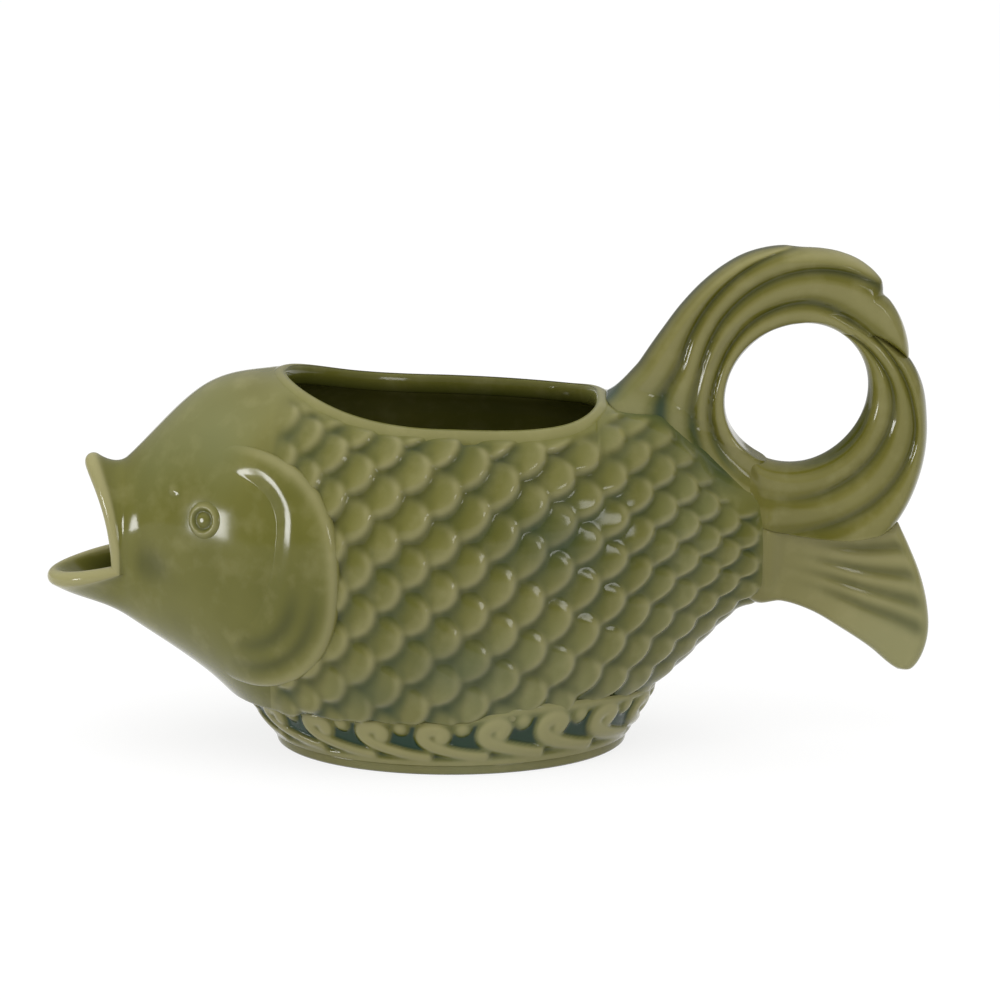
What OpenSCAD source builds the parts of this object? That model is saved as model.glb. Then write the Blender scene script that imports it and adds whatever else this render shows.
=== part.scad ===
// Fish-shaped pouring jug in glazed earthenware. Millimetres, +Z up, mouth towards -X,
// the left side of the fish towards -Y, origin on the table under the middle of the foot.

/* [Clay] */
// Thickness of the pressed walls
wall = 4.5; // [3.5:0.5:6]
// Film of slip under a luted piece
slip = 0.25; // [0.2:0.05:0.4]

/* [Body lengths] */
// Root of the lips, ahead of the foot's middle
mouth_x = 88; // [84:1:92]
// Brow, ahead of the foot's middle
brow_x = 67; // [62:1:72]
// Seam between head and body, ahead of the foot's middle
seam_x = 48.5; // [46:0.5:54]
// Rear shoulder of the belly, behind the foot's middle
shoulder_x = 46.5; // [46:0.5:52]

/* [Body heights] */
// Top of the snout at the root of the lips
mouth_top = 79.5; // [76:0.5:86]
// Underside of the snout at the root of the lips
mouth_bottom = 34.5; // [30:0.5:40]
// Top of the brow
brow_top = 98.5; // [94:0.5:104]
// Underside of the jaw below the brow
brow_bottom = 20.5; // [17:0.5:24]
// Top of the back at the seam
seam_top = 103; // [101:0.5:110]
// Height of the back over the foot
back_top = 99; // [97:0.5:108]
// Height of the handle seat where it starts
shoulder_top = 94; // [90:1:97]
// Underside of the belly's curve at the seam, hidden by the foot
seam_bottom = 5; // [2:0.5:7]
// Underside of the belly's curve over the foot, hidden by the foot
belly_bottom = -2; // [-4:0.5:1]
// Underside of the belly's curve at the handle seat, hidden by the foot
shoulder_bottom = 11; // [4:0.5:12]
// Underside of the tail root
tail_bottom = 39.2; // [35:0.2:42]
// Drop of the belly's underside just ahead of the tail root
tail_drop = 1.6; // [0.8:0.2:3]
// Height of the back's curve above the flat handle seat
flat_rise = 1; // [0.8:0.1:3]

/* [Body widths] */
// Width of the snout at the root of the lips
mouth_w = 29; // [26:1:34]
// Width of the head at the brow
brow_w = 58; // [52:1:64]
// Width at the seam between head and body
seam_w = 76; // [70:1:82]
// Greatest width of the belly
belly_w = 86; // [80:1:94]
// Width at the start of the handle seat
shoulder_w = 63; // [60:1:72]
// Width of the tail root
tail_w = 17; // [15:0.5:20]
// Swell of each side just ahead of the tail root
tail_swell = 4.5; // [3:0.5:6]

/* [Scales] */
// Height of a scale above the body
scale_relief = 1.2; // [0:0.1:1.6]

/* [Lips] */
// Height of the corners of the mouth
corner_z = 50; // [46:0.5:53]
// How far the corners of the mouth stand out from the root of the lips
corner_l = 2; // [1:0.5:4]
// Flare of the lips beyond the snout
lip_flare = 0.5; // [0:0.5:2]
// How far the upper lip stands out from its root
upper_reach = 10.5; // [7:0.5:13]
// How far the pouring lip stands out from its root
lower_reach = 22.5; // [17:0.5:26]
// Height of the tip of the pouring lip
pour_z = 48; // [43:0.5:50]
// Swell of the pouring lip's underside
pour_swell = 2.5; // [1:0.5:4]

/* [Gill covers] */
// Front edge of the cover, ahead of the foot's middle
gill_x = 60; // [57:1:63]
// Length of the cover to its rounded rear edge
gill_reach = 29; // [24:1:32]
// Height of the cover
gill_h = 64; // [56:1:68]
// Height of the cover's middle
gill_z = 57; // [54:1:60]
// Rise of the rear edge above the body
gill_rise = 2.6; // [1.6:0.2:3.4]
// Rise of the front edge above the cheek
gill_front_h = 0.6; // [0.4:0.1:1]
// Depth of the groove along the rear edge
gill_groove_h = 0.5; // [0:0.1:0.8]

/* [Eyes] */
// Diameter of the eye ring
eye_d = 9; // [7:0.5:11]
// Middle of the eye, ahead of the foot's middle
eye_x = 67; // [67:0.5:72]
// Height of the middle of the eye
eye_z = 69; // [67:1:74]
// Rise of the eye above the cheek
eye_rise = 1.8; // [1.2:0.2:2.4]

/* [Filling opening] */
// Length of the opening
filler_l = 85; // [76:1:94]
// Width of the opening
filler_w = 59; // [50:1:62]
// Width of the collar
rim_w = 4.4; // [3:0.2:5]
// Rise of the collar
rim_h = 1.2; // [1:0.2:3]

/* [Foot] */
// Length of the foot on the table
foot_l = 92.5; // [86:0.5:100]
// Width of the foot on the table
foot_w = 70; // [60:0.5:72]
// Height of the plain base rim
base_h = 3; // [2:0.5:4]
// Height of the belly's seat above the table
foot_h = 16; // [14:0.5:18]
// How far the band flares out at each end
flare_l = 11.5; // [8:0.5:12]
// How far the band flares out at each side
flare_w = 3.5; // [2:0.5:5.5]
// Thickness of the foot
foot_t = 7; // [5:0.5:9]
// Number of wave scrolls round the band
scrolls = 18; // [12:2:18]
// Rise of a scroll above the band
scroll_rise = 1.8; // [1.2:0.2:2.4]

/* [Finger ring] */
// Room between the collar and the start of the handle seat
seat_gap = 0.4; // [0.3:0.1:2]
// Bore for the finger
bore_d = 39; // [34:1:44]
// Clay between the bore and the seat on the back
ring_gap = 7.7; // [6:0.1:10]
// Middle of the bore along the seat
ring_run = 39.5; // [36:0.5:43]
// Slope of the seat
seat_slope = 30.5; // [28:0.5:33]
// Width of the arch at its flank
arch_flank = 20.8; // [17:0.1:24]
// Width of the arch at its crown
arch_crown = 21.8; // [18:0.1:25]
// Width of the arch where it turns down
arch_turn = 20; // [16:0.5:23]
// Width of the ring where the arch meets the tail
arch_tip = 12; // [9:0.5:15]
// Extra width of the arch just above its seat
arch_foot_w = 3.2; // [1:0.1:4]
// Step of the outline just ahead of the tail
tip_step = 0.6; // [0:0.1:2]
// Thickness of the arch
arch_t = 15; // [12:0.5:16]
// Thickness of the ring where the arch meets the tail
tip_t = 11; // [8:0.5:13]

/* [Tail] */
// Length of the tail stem ahead of the lobes
stem_l = 8; // [6:0.5:11]
// How far the bore's middle lies behind the stem
stem_inset = 8.4; // [6:0.2:11]
// Height at which the two lobes part on the stem
part_z = 55; // [51:1:58]
// Length from the stem to the notch between the lobes
notch_l = 35.6; // [31:0.2:39]
// Height of the notch
notch_z = 60; // [57:1:63]
// Width of the upper lobe near the notch
lobe_low = 21; // [18:0.5:24]
// Width of the upper lobe at its middle
lobe_mid = 16.8; // [13:0.1:19]
// Length from the stem to the tip of the lower lobe
fan_l = 37; // [32:0.5:41]
// Height of the tip of the lower lobe
fan_z = 18.8; // [16:0.1:24]
// Rounding of the free edge of the lower lobe
fan_bow = 9; // [5:0.5:12]
// Sag of the lower edge of the lower lobe
fan_sag = 4.2; // [3:0.1:7]
// Thickness of the lower lobe at its free edge
fan_t = 6; // [4:0.5:8]
// Depth of the grooves between the fin rays
ray_depth = 1.2; // [0.6:0.2:1.6]

/* [Hidden] */
filler_x = (shoulder_x - seam_x) / 2 + 0.2;
seat_x = filler_x + filler_l / 2 + rim_w + seat_gap;
seat_dir = [cos(seat_slope), -sin(seat_slope)];
seat_up = [sin(seat_slope), cos(seat_slope)];
bore_r = bore_d / 2;
ring = [seat_x, shoulder_top] + ring_run * seat_dir + (bore_r + ring_gap) * seat_up;
fork_x = ring.x - stem_inset;
tail_x = fork_x - stem_l;
bore_low = 180 + acos(stem_inset / bore_r);
tip_turn = 18;

function seat_z(x) = shoulder_top - (x - seat_x) * tan(seat_slope);

top_line = [
    [-mouth_x, mouth_top],
    [-brow_x, brow_top],
    [-seam_x, seam_top],
    [0, back_top],
    [seat_x, shoulder_top + flat_rise],
    [tail_x, seat_z(tail_x) + flat_rise],
    [fork_x, seat_z(fork_x) + flat_rise]
];
bottom_line = [
    [-mouth_x, mouth_bottom],
    [-brow_x, brow_bottom],
    [-seam_x, seam_bottom],
    [0, belly_bottom],
    [shoulder_x, shoulder_bottom],
    [tail_x, tail_bottom - tail_drop],
    [fork_x, tail_bottom]
];
side_line = [
    [-mouth_x, mouth_w / 2],
    [-brow_x, brow_w / 2],
    [-seam_x, seam_w / 2],
    [0, belly_w / 2],
    [shoulder_x, shoulder_w / 2],
    [tail_x, tail_w / 2 + tail_swell],
    [fork_x, tail_w / 2]
];
fullness_line = [
    [-mouth_x, 2],
    [-brow_x, 2.2],
    [-seam_x, 2.6],
    [0, 3.2],
    [shoulder_x, 2.6],
    [tail_x, 2.2],
    [fork_x, 2.4]
];

function mix(a, b, t) = a + (b - a) * t;
function within(v, low, high) = min(max(v, low), high);
function ease(t) = let (k = within(t, 0, 1)) k * k * (3 - 2 * k);
function steps(a, b, n) = [for (i = [0:n]) mix(a, b, i / n)];
function backwards(list) = [for (i = [len(list) - 1:-1:0]) list[i]];
function polar(r, turn) = [r * cos(turn), r * sin(turn)];

// Smooth curve through a row of points, read at any place along it
function knot_slope(row, k) =
    let (a = row[max(k - 1, 0)], b = row[min(k + 1, len(row) - 1)])
    (b[1] - a[1]) / (b[0] - a[0]);
function follow(row, x) =
    let (
        k = max([for (i = [0:len(row) - 2]) i == 0 || x >= row[i][0] ? i : 0]),
        span = row[k + 1][0] - row[k][0],
        t = (x - row[k][0]) / span
    )
    (2 * t ^ 3 - 3 * t ^ 2 + 1) * row[k][1] + (3 * t ^ 2 - 2 * t ^ 3) * row[k + 1][1]
    + span * ((t ^ 3 - 2 * t ^ 2 + t) * knot_slope(row, k) + (t ^ 3 - t ^ 2) * knot_slope(row, k + 1));
function path_point(points, t) =
    let (row_x = [for (i = [0:len(points) - 1]) [i, points[i].x]],
         row_z = [for (i = [0:len(points) - 1]) [i, points[i].y]])
    [follow(row_x, t * (len(points) - 1)), follow(row_z, t * (len(points) - 1))];

// One closed skin over a row of rings; each ring runs out along one face and back along the other
module skin(rings, out, loop = false, weave = false) {
    n = len(rings);
    m = len(rings[0]);
    back = m - out;
    sides = [
        for (i = [0:loop ? n - 1 : n - 2]) for (j = [0:m - 1])
            let (a = i * m, b = ((i + 1) % n) * m, k = (j + 1) % m)
            each weave && (i + j) % 2 == 1
                ? [[a + j, a + k, b + j], [a + k, b + k, b + j]]
                : [[a + j, b + k, b + j], [a + j, a + k, b + k]]
    ];
    cap = [
        for (j = [0:out - 2])
            let (k = round(j * (back - 1) / (out - 1)), l = round((j + 1) * (back - 1) / (out - 1)))
            each concat([[j, m - 1 - k, j + 1]], l > k ? [[j + 1, m - 1 - k, m - 1 - l]] : [])
    ];
    ends = loop ? [] : concat(cap, [for (f = cap) [for (v = backwards(f)) v + (n - 1) * m]]);
    polyhedron(points = [for (r = rings) each r], faces = concat(sides, ends), convexity = 8);
}

// Body section: half width, crown and floor at a place along the fish, pushed in by a depth
function side_y(x, depth = 0) = follow(side_line, x) - depth;
function crown_z(x, depth = 0) = follow(top_line, x) - depth;
function floor_z(x, depth = 0) = follow(bottom_line, x) + depth;
function middle_z(x) = (crown_z(x) + floor_z(x)) / 2;
function power(v, p) = sign(v) * abs(v) ^ p;
function section(x, turn, depth = 0) =
    let (
        p = 2 / follow(fullness_line, x),
        z = middle_z(x) + (crown_z(x, depth) - middle_z(x)) * power(sin(turn), p)
    )
    [x, side_y(x, depth) * power(cos(turn), p), within(z, foot_h + depth, seat_z(x) - depth)];
function cheek_y(x, z) =
    let (f = follow(fullness_line, x), rise = abs(z - middle_z(x)) / (crown_z(x) - middle_z(x)))
    side_y(x) * max(0, 1 - rise ^ f) ^ (1 / f);
function back_z(x, y) =
    let (f = follow(fullness_line, x))
    min(seat_z(x), middle_z(x) + (crown_z(x) - middle_z(x)) * max(0, 1 - (abs(y) / side_y(x)) ^ f) ^ (1 / f));

// Half width of the filling opening, and the turn of the section at which the wall starts below it
function gap_y(x) = filler_w / 2 * sqrt(max(0, 1 - ((x - filler_x) / (filler_l / 2)) ^ 2));
function collar_y(x) =
    (filler_w / 2 + rim_w) * sqrt(max(0, 1 - ((x - filler_x) / (filler_l / 2 + rim_w)) ^ 2));
function turn_at(x, y, depth) = acos(min(1, (y / side_y(x, depth)) ^ (follow(fullness_line, x) / 2)));
function start_turn(x, depth) = turn_at(x, gap_y(x), depth);

// Overlapping scales in staggered rows, each rising towards its free edge and dropping behind it
function lobe(p, q) = (p % 4) / 3 * (1 - abs((q % 4 - 2) / 2) ^ 2.4);
function off_gill(p) = norm([(p.x + gill_x) / gill_reach, (p.z - gill_z) / (gill_h / 2)]);
function collar_rows(x) =
    body_turns * (start_turn(x, 0) - turn_at(x, collar_y(x), 0)) / (start_turn(x, 0) - seat_turn(x, 0));
function scale_fade(i, j, p) = min(
    ease(i / 3), ease((body_cuts - i) / 3), ease((j - 0.5 - collar_rows(p.x)) / 1.5),
    ease((body_turns + 1 - j) / 2), ease((off_gill(p) - 1.12) / 0.15)
);
function scale_rise(i, j) = scale_relief * max(lobe(i, j), lobe(i + 2, j + 2));
function scale_lean(i, j) =
    i % 2 == 0 ? 0 : 0.6 * lobe(3, i % 4 == 3 ? j : j + 2) * (tail_x + seam_x) / body_cuts;

body_cuts = 38;
body_turns = 28;
floor_turns = 3;
lining_turns = 9;
body_places = [for (i = [0:body_cuts]) mix(-seam_x, tail_x, i / body_cuts)];

// The section's turn at which the belly meets its flat seat
function seat_turn(x, depth) =
    let (drop = (middle_z(x) - foot_h - depth) / (middle_z(x) - floor_z(x, depth)))
    max(-78, -asin(min(drop, 1) ^ (follow(fullness_line, x) / 2)));
function half_turns(x, depth, sides, unders) =
    let (split = seat_turn(x, depth))
    concat(
        [for (j = [0:sides]) mix(start_turn(x, depth), split, j / sides)],
        [for (j = [1:unders]) mix(split, -90, j / unders)]
    );

function body_ring(i) =
    let (
        x = body_places[i],
        outer_turns = half_turns(x, 0, body_turns, floor_turns),
        shell = [
            for (j = [0:body_turns + floor_turns])
                let (
                    p = section(x, outer_turns[j]),
                    way = [0, p.y / side_y(x) ^ 2, (p.z - middle_z(x)) / (crown_z(x) - middle_z(x)) ^ 2]
                )
                p + scale_fade(i, j, p)
                    * ([scale_lean(i, j), 0, 0] + scale_rise(i, j) * way / max(norm(way), 0.001))
        ],
        lining = [for (t = half_turns(x, wall, lining_turns, floor_turns)) section(x, t, wall)]
    )
    concat(shell, backwards(lining));

module body_half() {
    skin([for (i = [0:body_cuts]) body_ring(i)], body_turns + floor_turns + 1, weave = true);
}

module left_body_half() {
    color("#6f7340") mirror([0, 1, 0]) body_half();
}

module right_body_half() {
    color("#6f7340") body_half();
}

head_cuts = 14;
head_turns = 20;

function head_ring(x) =
    concat(
        [for (t = steps(start_turn(x, 0), -90, head_turns)) section(x, t)],
        backwards([for (t = steps(start_turn(x, wall), -90, head_turns)) section(x, t, wall)])
    );

module head_half() {
    skin([for (x = steps(-mouth_x, -seam_x, head_cuts)) head_ring(x)], head_turns + 1);
}

module left_head_half() {
    color("#7c7a48") mirror([0, 1, 0]) head_half();
}

module right_head_half() {
    color("#7c7a48") head_half();
}

// Lips: each runs from one corner of the mouth round to the other
corner_x = -mouth_x - corner_l;
lip_cuts = 24;
corner_turn = asin((corner_z - middle_z(-mouth_x)) / (mouth_top - middle_z(-mouth_x)));

function root_point(turn, side, depth) =
    let (p = section(-mouth_x, turn, depth))
    [p.x, side * p.y, p.z];
function lip_ring(root_turn, side, edge, inner_edge, swell = [0, 0, 0]) =
    let (
        outer = root_point(root_turn, side, 0),
        inner = root_point(root_turn, side, wall),
        places = steps(0, 1, 4)
    )
    concat(
        [for (k = places) mix(outer, edge, k) + 4 * k * (1 - k) * swell],
        backwards([for (k = places) mix(inner, inner_edge, k)])
    );

module upper_lip() {
    color("#8b8a58") skin([
        for (i = [0:lip_cuts])
            let (
                s = mix(-1, 1, i / lip_cuts),
                turn = 90 * (1 - abs(s)),
                edge_w = mouth_w / 2 + lip_flare,
                rise = mouth_top + lip_flare - corner_z,
                edge = [corner_x - (upper_reach - corner_l) * sin(turn), sign(s) * edge_w * cos(turn),
                    corner_z + rise * sin(turn)],
                inner_edge = [edge.x, sign(s) * (edge_w - wall) * cos(turn),
                    corner_z + (rise - wall) * sin(turn)]
            )
            lip_ring(mix(corner_turn, 90, 1 - abs(s)), s < 0 ? -1 : 1, edge, inner_edge)
    ], 5);
}

module lower_lip() {
    color("#8b8a58") skin([
        for (i = [0:lip_cuts])
            let (
                s = mix(1, -1, i / lip_cuts),
                turn = 90 * (1 - abs(s)),
                edge_w = mouth_w / 2 + lip_flare,
                edge = [corner_x - (lower_reach - corner_l) * sin(turn), sign(s) * edge_w * cos(turn),
                    mix(corner_z, pour_z, sin(turn))],
                inner_edge = [corner_x - (lower_reach - corner_l - wall) * sin(turn),
                    sign(s) * (edge_w - wall) * cos(turn), mix(corner_z, pour_z, sin(turn))],
                swell = pour_swell * sin(turn) * [-0.5, 0, -0.85]
            )
            lip_ring(mix(corner_turn, -90, 1 - abs(s)), s < 0 ? -1 : 1, edge, inner_edge, swell)
    ], 5);
}

// Gill cover: a half disc on the cheek, highest along its rounded rear edge
gill_cuts = 12;

function gill_lift(u, v) =
    let (r = sqrt(u ^ 2 + v ^ 2 - u ^ 2 * v ^ 2))
    mix(gill_front_h, gill_rise, ease((r - 0.2) / 0.7)) - gill_groove_h * (1 - ease(abs(r - 0.8) / 0.1));
function gill_point(u, v, lift) =
    let (
        x = -gill_x + gill_reach * u * sqrt(1 - v ^ 2 / 2),
        z = gill_z + gill_h / 2 * v * sqrt(1 - u ^ 2 / 2)
    )
    [x, cheek_y(x, z) + slip + lift, z];

module gill_cover() {
    skin([
        for (v = steps(-1, 1, gill_cuts))
            concat(
                [for (u = steps(0, 1, gill_cuts)) gill_point(u, v, gill_lift(u, v))],
                backwards([for (u = steps(0, 1, gill_cuts)) gill_point(u, v, 0)])
            )
    ], gill_cuts + 1);
}

module left_gill_cover() {
    color("#8b8a58") mirror([0, 1, 0]) gill_cover();
}

module right_gill_cover() {
    color("#8b8a58") gill_cover();
}

// Eye: a ring and a domed pupil on a small pad, square to the cheek
eye_step = 2;
eye_way = [
    (cheek_y(-eye_x - eye_step, eye_z) - cheek_y(-eye_x + eye_step, eye_z)) / (2 * eye_step),
    1,
    (cheek_y(-eye_x, eye_z - eye_step) - cheek_y(-eye_x, eye_z + eye_step)) / (2 * eye_step)
];

module eye() {
    translate([-eye_x, cheek_y(-eye_x, eye_z) + slip, eye_z])
        rotate([0, acos(eye_way.z / norm(eye_way)), atan2(eye_way.y, eye_way.x)])
            rotate_extrude($fn = 48) polygon([
                [0, 0],
                [eye_d / 2, 0],
                [eye_d / 2, eye_rise * 0.55],
                [eye_d * 0.43, eye_rise],
                [eye_d * 0.36, eye_rise],
                [eye_d * 0.3, eye_rise * 0.5],
                [eye_d * 0.24, eye_rise * 0.55],
                [eye_d * 0.14, eye_rise * 0.95],
                [0, eye_rise * 1.05]
            ]);
}

module left_eye() {
    color("#4d4a2a") mirror([0, 1, 0]) eye();
}

module right_eye() {
    color("#4d4a2a") eye();
}

// Collar on the back round the filling opening
rim_cuts = 72;
lean_step = 0.2;

function back_lean(x, y) = norm([
    1, (back_z(x + lean_step, y) - back_z(x - lean_step, y)) / (2 * lean_step),
    (back_z(x, y + lean_step) - back_z(x, y - lean_step)) / (2 * lean_step)
]);

function rim_point(turn, across, up) =
    let (
        x = filler_x + (filler_l / 2 + across * rim_w) * cos(turn),
        y = (filler_w / 2 + across * rim_w) * sin(turn)
    )
    [x, y, back_z(x, y) + slip * back_lean(x, y) + up * rim_h];

module filler_rim() {
    color("#8b8a58") skin([
        for (i = [0:rim_cuts - 1])
            let (turn = -360 * i / rim_cuts)
            [
                rim_point(turn, 0, 0), rim_point(turn, 0, 0.6), rim_point(turn, 0.25, 1),
                rim_point(turn, 0.6, 0.95), rim_point(turn, 1, 0.25),
                each [for (across = [1, 0.88, 0.72, 0.5, 0.25]) rim_point(turn, across, 0)]
            ]
    ], 4, loop = true);
}

band_cuts = 56;

function oval(l, w) =
    [for (i = [0:2 * band_cuts - 1]) [l / 2 * cos(180 * i / band_cuts), w / 2 * sin(180 * i / band_cuts)]];

module foot_ring() {
    color("#7c7a48") linear_extrude(base_h) difference() {
        polygon(oval(foot_l, foot_w));
        polygon(oval(foot_l - 2 * foot_t, foot_w - 2 * foot_t));
    }
}

// Flared band between the base rim and the belly

function band_out(z) = let (t = (z - base_h) / (foot_h - base_h)) t * (0.6 + 0.4 * t);
function band_point(turn, z, depth = 0) = [
    (foot_l / 2 + flare_l * band_out(z) - depth) * cos(turn),
    (foot_w / 2 + flare_w * band_out(z) - depth) * sin(turn),
    z
];

module wave_band() {
    levels = steps(base_h, foot_h, 3);
    color("#6f7340") skin([
        for (i = [0:band_cuts - 1])
            let (turn = 360 * i / band_cuts)
            concat(
                [for (z = levels) band_point(turn, z)],
                backwards([for (z = levels) band_point(turn, z, foot_t)])
            )
    ], 4, loop = true);
}

// Running-wave scrolls: a curl at the top and a long tail sweeping down to the base rim
scroll_pitch = 360 / scrolls;
scroll_path = [
    [0.36, 0.6], [0.33, 0.8], [0.18, 0.87], [0.03, 0.74], [0.02, 0.5], [0.14, 0.3], [0.4, 0.17], [0.78, 0.12]
];
scroll_cuts = 10;

function scroll_at(first, across, level, rise) =
    let (p = band_point(first + across * scroll_pitch, base_h + level * (foot_h - base_h)))
    p + rise * [p.x / (foot_l / 2) ^ 2, p.y / (foot_w / 2) ^ 2, 0]
        / norm([p.x / (foot_l / 2) ^ 2, p.y / (foot_w / 2) ^ 2]);
function scroll_ring(first, t) =
    let (
        p = path_point(scroll_path, t),
        q = path_point(scroll_path, min(t + 0.02, 1)) - path_point(scroll_path, max(t - 0.02, 0)),
        wide = 0.105 * (1.15 - 0.6 * abs(t - 0.35)),
        tall = foot_h - base_h,
        long = scroll_pitch / 360 * PI * (foot_l + foot_w) / 2,
        way = [-q.y * tall, q.x * long] / norm([q.y * tall, q.x * long]) * wide * tall,
        half = [way.x / long, way.y / tall],
        rise = scroll_rise * (1 - 0.35 * abs(2 * t - 1))
    )
    [
        for (k = [[-1, 0], [-0.75, 0.7], [0, 1], [0.75, 0.7], [1, 0]])
            scroll_at(first, p.x + k.x * half.x, p.y + k.x * half.y, slip + k.y * rise)
    ];

module wave_scrolls() {
    color("#8b8a58") for (i = [0:scrolls - 1])
        skin([for (t = steps(0, 1, scroll_cuts)) scroll_ring((i + 0.2) * scroll_pitch, t)], 3);
}

// Tail stem: closes the body and carries the two lobes
stem_turns = 20;

function stem_ring(x) =
    let (
        first = asin(((seat_z(x) - middle_z(x)) / (crown_z(x) - middle_z(x))) ^ (follow(fullness_line, x) / 2)),
        run = [for (t = steps(first, -90, stem_turns)) section(x, t)]
    )
    concat(run, backwards([for (i = [0:stem_turns - 1]) [x, -run[i].y, run[i].z]]));

module tail_stem() {
    color("#6f7340") skin([for (x = steps(tail_x, fork_x, 4)) stem_ring(x)], stem_turns + 1);
}

// Fins: flat ridged members between an inner and an outer edge, thinning towards both
fin_turns = 20;

function ray_cut(v, rays, grow) = ray_depth * ease(grow) * (0.5 - 0.5 * cos(360 * rays * v)) ^ 2;
function fin_half(v, half, rays, grow) =
    (half - ray_depth * ease(grow) + ray_cut(v, rays, grow)) * (1 - 0.42 * abs(2 * v - 1) ^ 4);
function fin_ring(inner, outer, half, rays, grow) =
    let (places = steps(0, 1, fin_turns))
    concat(
        [for (v = places) let (p = mix(inner, outer, v)) [p.x, -fin_half(v, half, rays, grow), p.y]],
        backwards([for (v = places) let (p = mix(inner, outer, v)) [p.x, fin_half(v, half, rays, grow), p.y]])
    );

bore_foot = ring + polar(bore_r, bore_low);
seat_end = [fork_x, seat_z(fork_x)];
seat_start = [seat_x, seat_z(seat_x)];
arch_line = [
    seat_start,
    ring + polar(bore_r + arch_flank + arch_foot_w, 168),
    ring + polar(bore_r + arch_flank, 152),
    ring + polar(bore_r + (arch_flank + arch_crown) / 2, 126),
    ring + polar(bore_r + arch_crown, 100),
    ring + polar(bore_r + (arch_turn + arch_crown) / 2, 76),
    ring + polar(bore_r + arch_turn, 54),
    ring + polar(bore_r + (arch_turn + arch_tip) / 2 - tip_step, 36),
    ring + polar(bore_r + arch_tip, tip_turn)
];
arch_cuts = 28;

function arch_inner(t) =
    t < 0.08 ? mix(seat_end, bore_foot, t / 0.08)
    : ring + polar(bore_r, mix(bore_low, tip_turn, (t - 0.08) / 0.92));

module handle_arch() {
    color("#7c7a48") skin([
        for (t = steps(0, 1, arch_cuts))
            fin_ring(arch_inner(t), path_point(arch_line, t), mix(arch_t, tip_t, ease(t)) / 2, 5, t * 5)
    ], fin_turns + 1);
}

notch = [fork_x + notch_l, notch_z];
lobe_line = [
    mix([fork_x, part_z], notch, 0.5),
    notch,
    ring + polar(bore_r + lobe_low, -34),
    ring + polar(bore_r + lobe_mid, -12),
    ring + polar(bore_r + (lobe_mid + arch_tip) / 2, 4),
    ring + polar(bore_r + arch_tip, tip_turn)
];
lobe_cuts = 20;

function lobe_outer(t) =
    t < 0.25 ? mix([fork_x, part_z], lobe_line[0], t / 0.25)
    : t < 0.5 ? mix(lobe_line[0], notch, (t - 0.25) / 0.25)
    : path_point([for (i = [1:5]) lobe_line[i]], (t - 0.5) / 0.5);

module upper_tail_lobe() {
    color("#7c7a48") skin([
        for (t = steps(1, 0, lobe_cuts))
            fin_ring(
                ring + polar(bore_r, mix(bore_low - 360, tip_turn, t)), lobe_outer(t),
                mix(tail_w, tip_t, ease(t)) / 2, 4, t * 4
            )
    ], fin_turns + 1);
}

fan_cuts = 12;
fan_line = [[fork_x, tail_bottom], [fork_x + fan_l * 0.45, tail_bottom - fan_sag], [fork_x + fan_l, fan_z]];

function fan_ring(t) =
    let (
        top = mix([fork_x, part_z], notch, t),
        low = path_point(fan_line, t),
        half = mix(tail_w, fan_t, ease(t)) / 2,
        run = [
            for (v = steps(0, 1, fin_turns))
                [mix(top, low, v) + [fan_bow * t ^ 2 * sin(180 * v ^ 1.4), 0], fin_half(v, half, 5, t * 3)]
        ]
    )
    concat(
        [for (p = run) [p[0].x, -p[1], p[0].y]],
        backwards([for (p = run) [p[0].x, p[1], p[0].y]])
    );

module lower_tail_lobe() {
    color("#7c7a48") skin([for (t = steps(1, 0, fan_cuts)) fan_ring(t)], fin_turns + 1);
}

left_body_half();
right_body_half();
left_head_half();
right_head_half();
upper_lip();
lower_lip();
left_gill_cover();
right_gill_cover();
left_eye();
right_eye();
filler_rim();
foot_ring();
wave_band();
wave_scrolls();
tail_stem();
handle_arch();
upper_tail_lobe();
lower_tail_lobe();
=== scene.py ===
import math

import bmesh
import bpy
import numpy as np
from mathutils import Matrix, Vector


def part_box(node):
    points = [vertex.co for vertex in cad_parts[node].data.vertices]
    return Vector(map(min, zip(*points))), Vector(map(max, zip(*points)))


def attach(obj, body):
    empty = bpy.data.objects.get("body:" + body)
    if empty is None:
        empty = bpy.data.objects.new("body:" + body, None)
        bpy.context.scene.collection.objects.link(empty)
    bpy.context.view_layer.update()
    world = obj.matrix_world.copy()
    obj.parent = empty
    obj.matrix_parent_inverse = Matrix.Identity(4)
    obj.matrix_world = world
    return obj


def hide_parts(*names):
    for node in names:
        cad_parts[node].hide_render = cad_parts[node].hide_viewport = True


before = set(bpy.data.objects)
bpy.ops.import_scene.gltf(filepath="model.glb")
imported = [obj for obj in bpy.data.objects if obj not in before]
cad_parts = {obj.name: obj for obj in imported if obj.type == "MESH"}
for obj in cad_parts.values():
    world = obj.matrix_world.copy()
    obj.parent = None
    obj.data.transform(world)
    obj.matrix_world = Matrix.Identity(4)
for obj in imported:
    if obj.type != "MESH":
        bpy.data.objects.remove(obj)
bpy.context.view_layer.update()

mm = 0.001


# The named sizes of one feature, read as feature.size
class Sizes:
    def __init__(self, **sizes):
        vars(self).update(sizes)


# Shapes are worked out in millimetres, in the frame of the CAD solids: mouth to -X, near side to -Y.
def nodeBox(node):
    low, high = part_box(node)
    return np.array(low) / mm, np.array(high) / mm


headLow, headHigh = nodeBox("right_head_half")
stemLow, stemHigh = nodeBox("tail_stem")
gillLow, gillHigh = nodeBox("right_gill_cover")
rimLow, rimHigh = nodeBox("filler_rim")
footHigh = nodeBox("foot_ring")[1]
footTop = nodeBox("wave_band")[1][2]
mouthX, seamX = headLow[0], headHigh[0]
tailX, forkX = stemLow[0], stemHigh[0]

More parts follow.
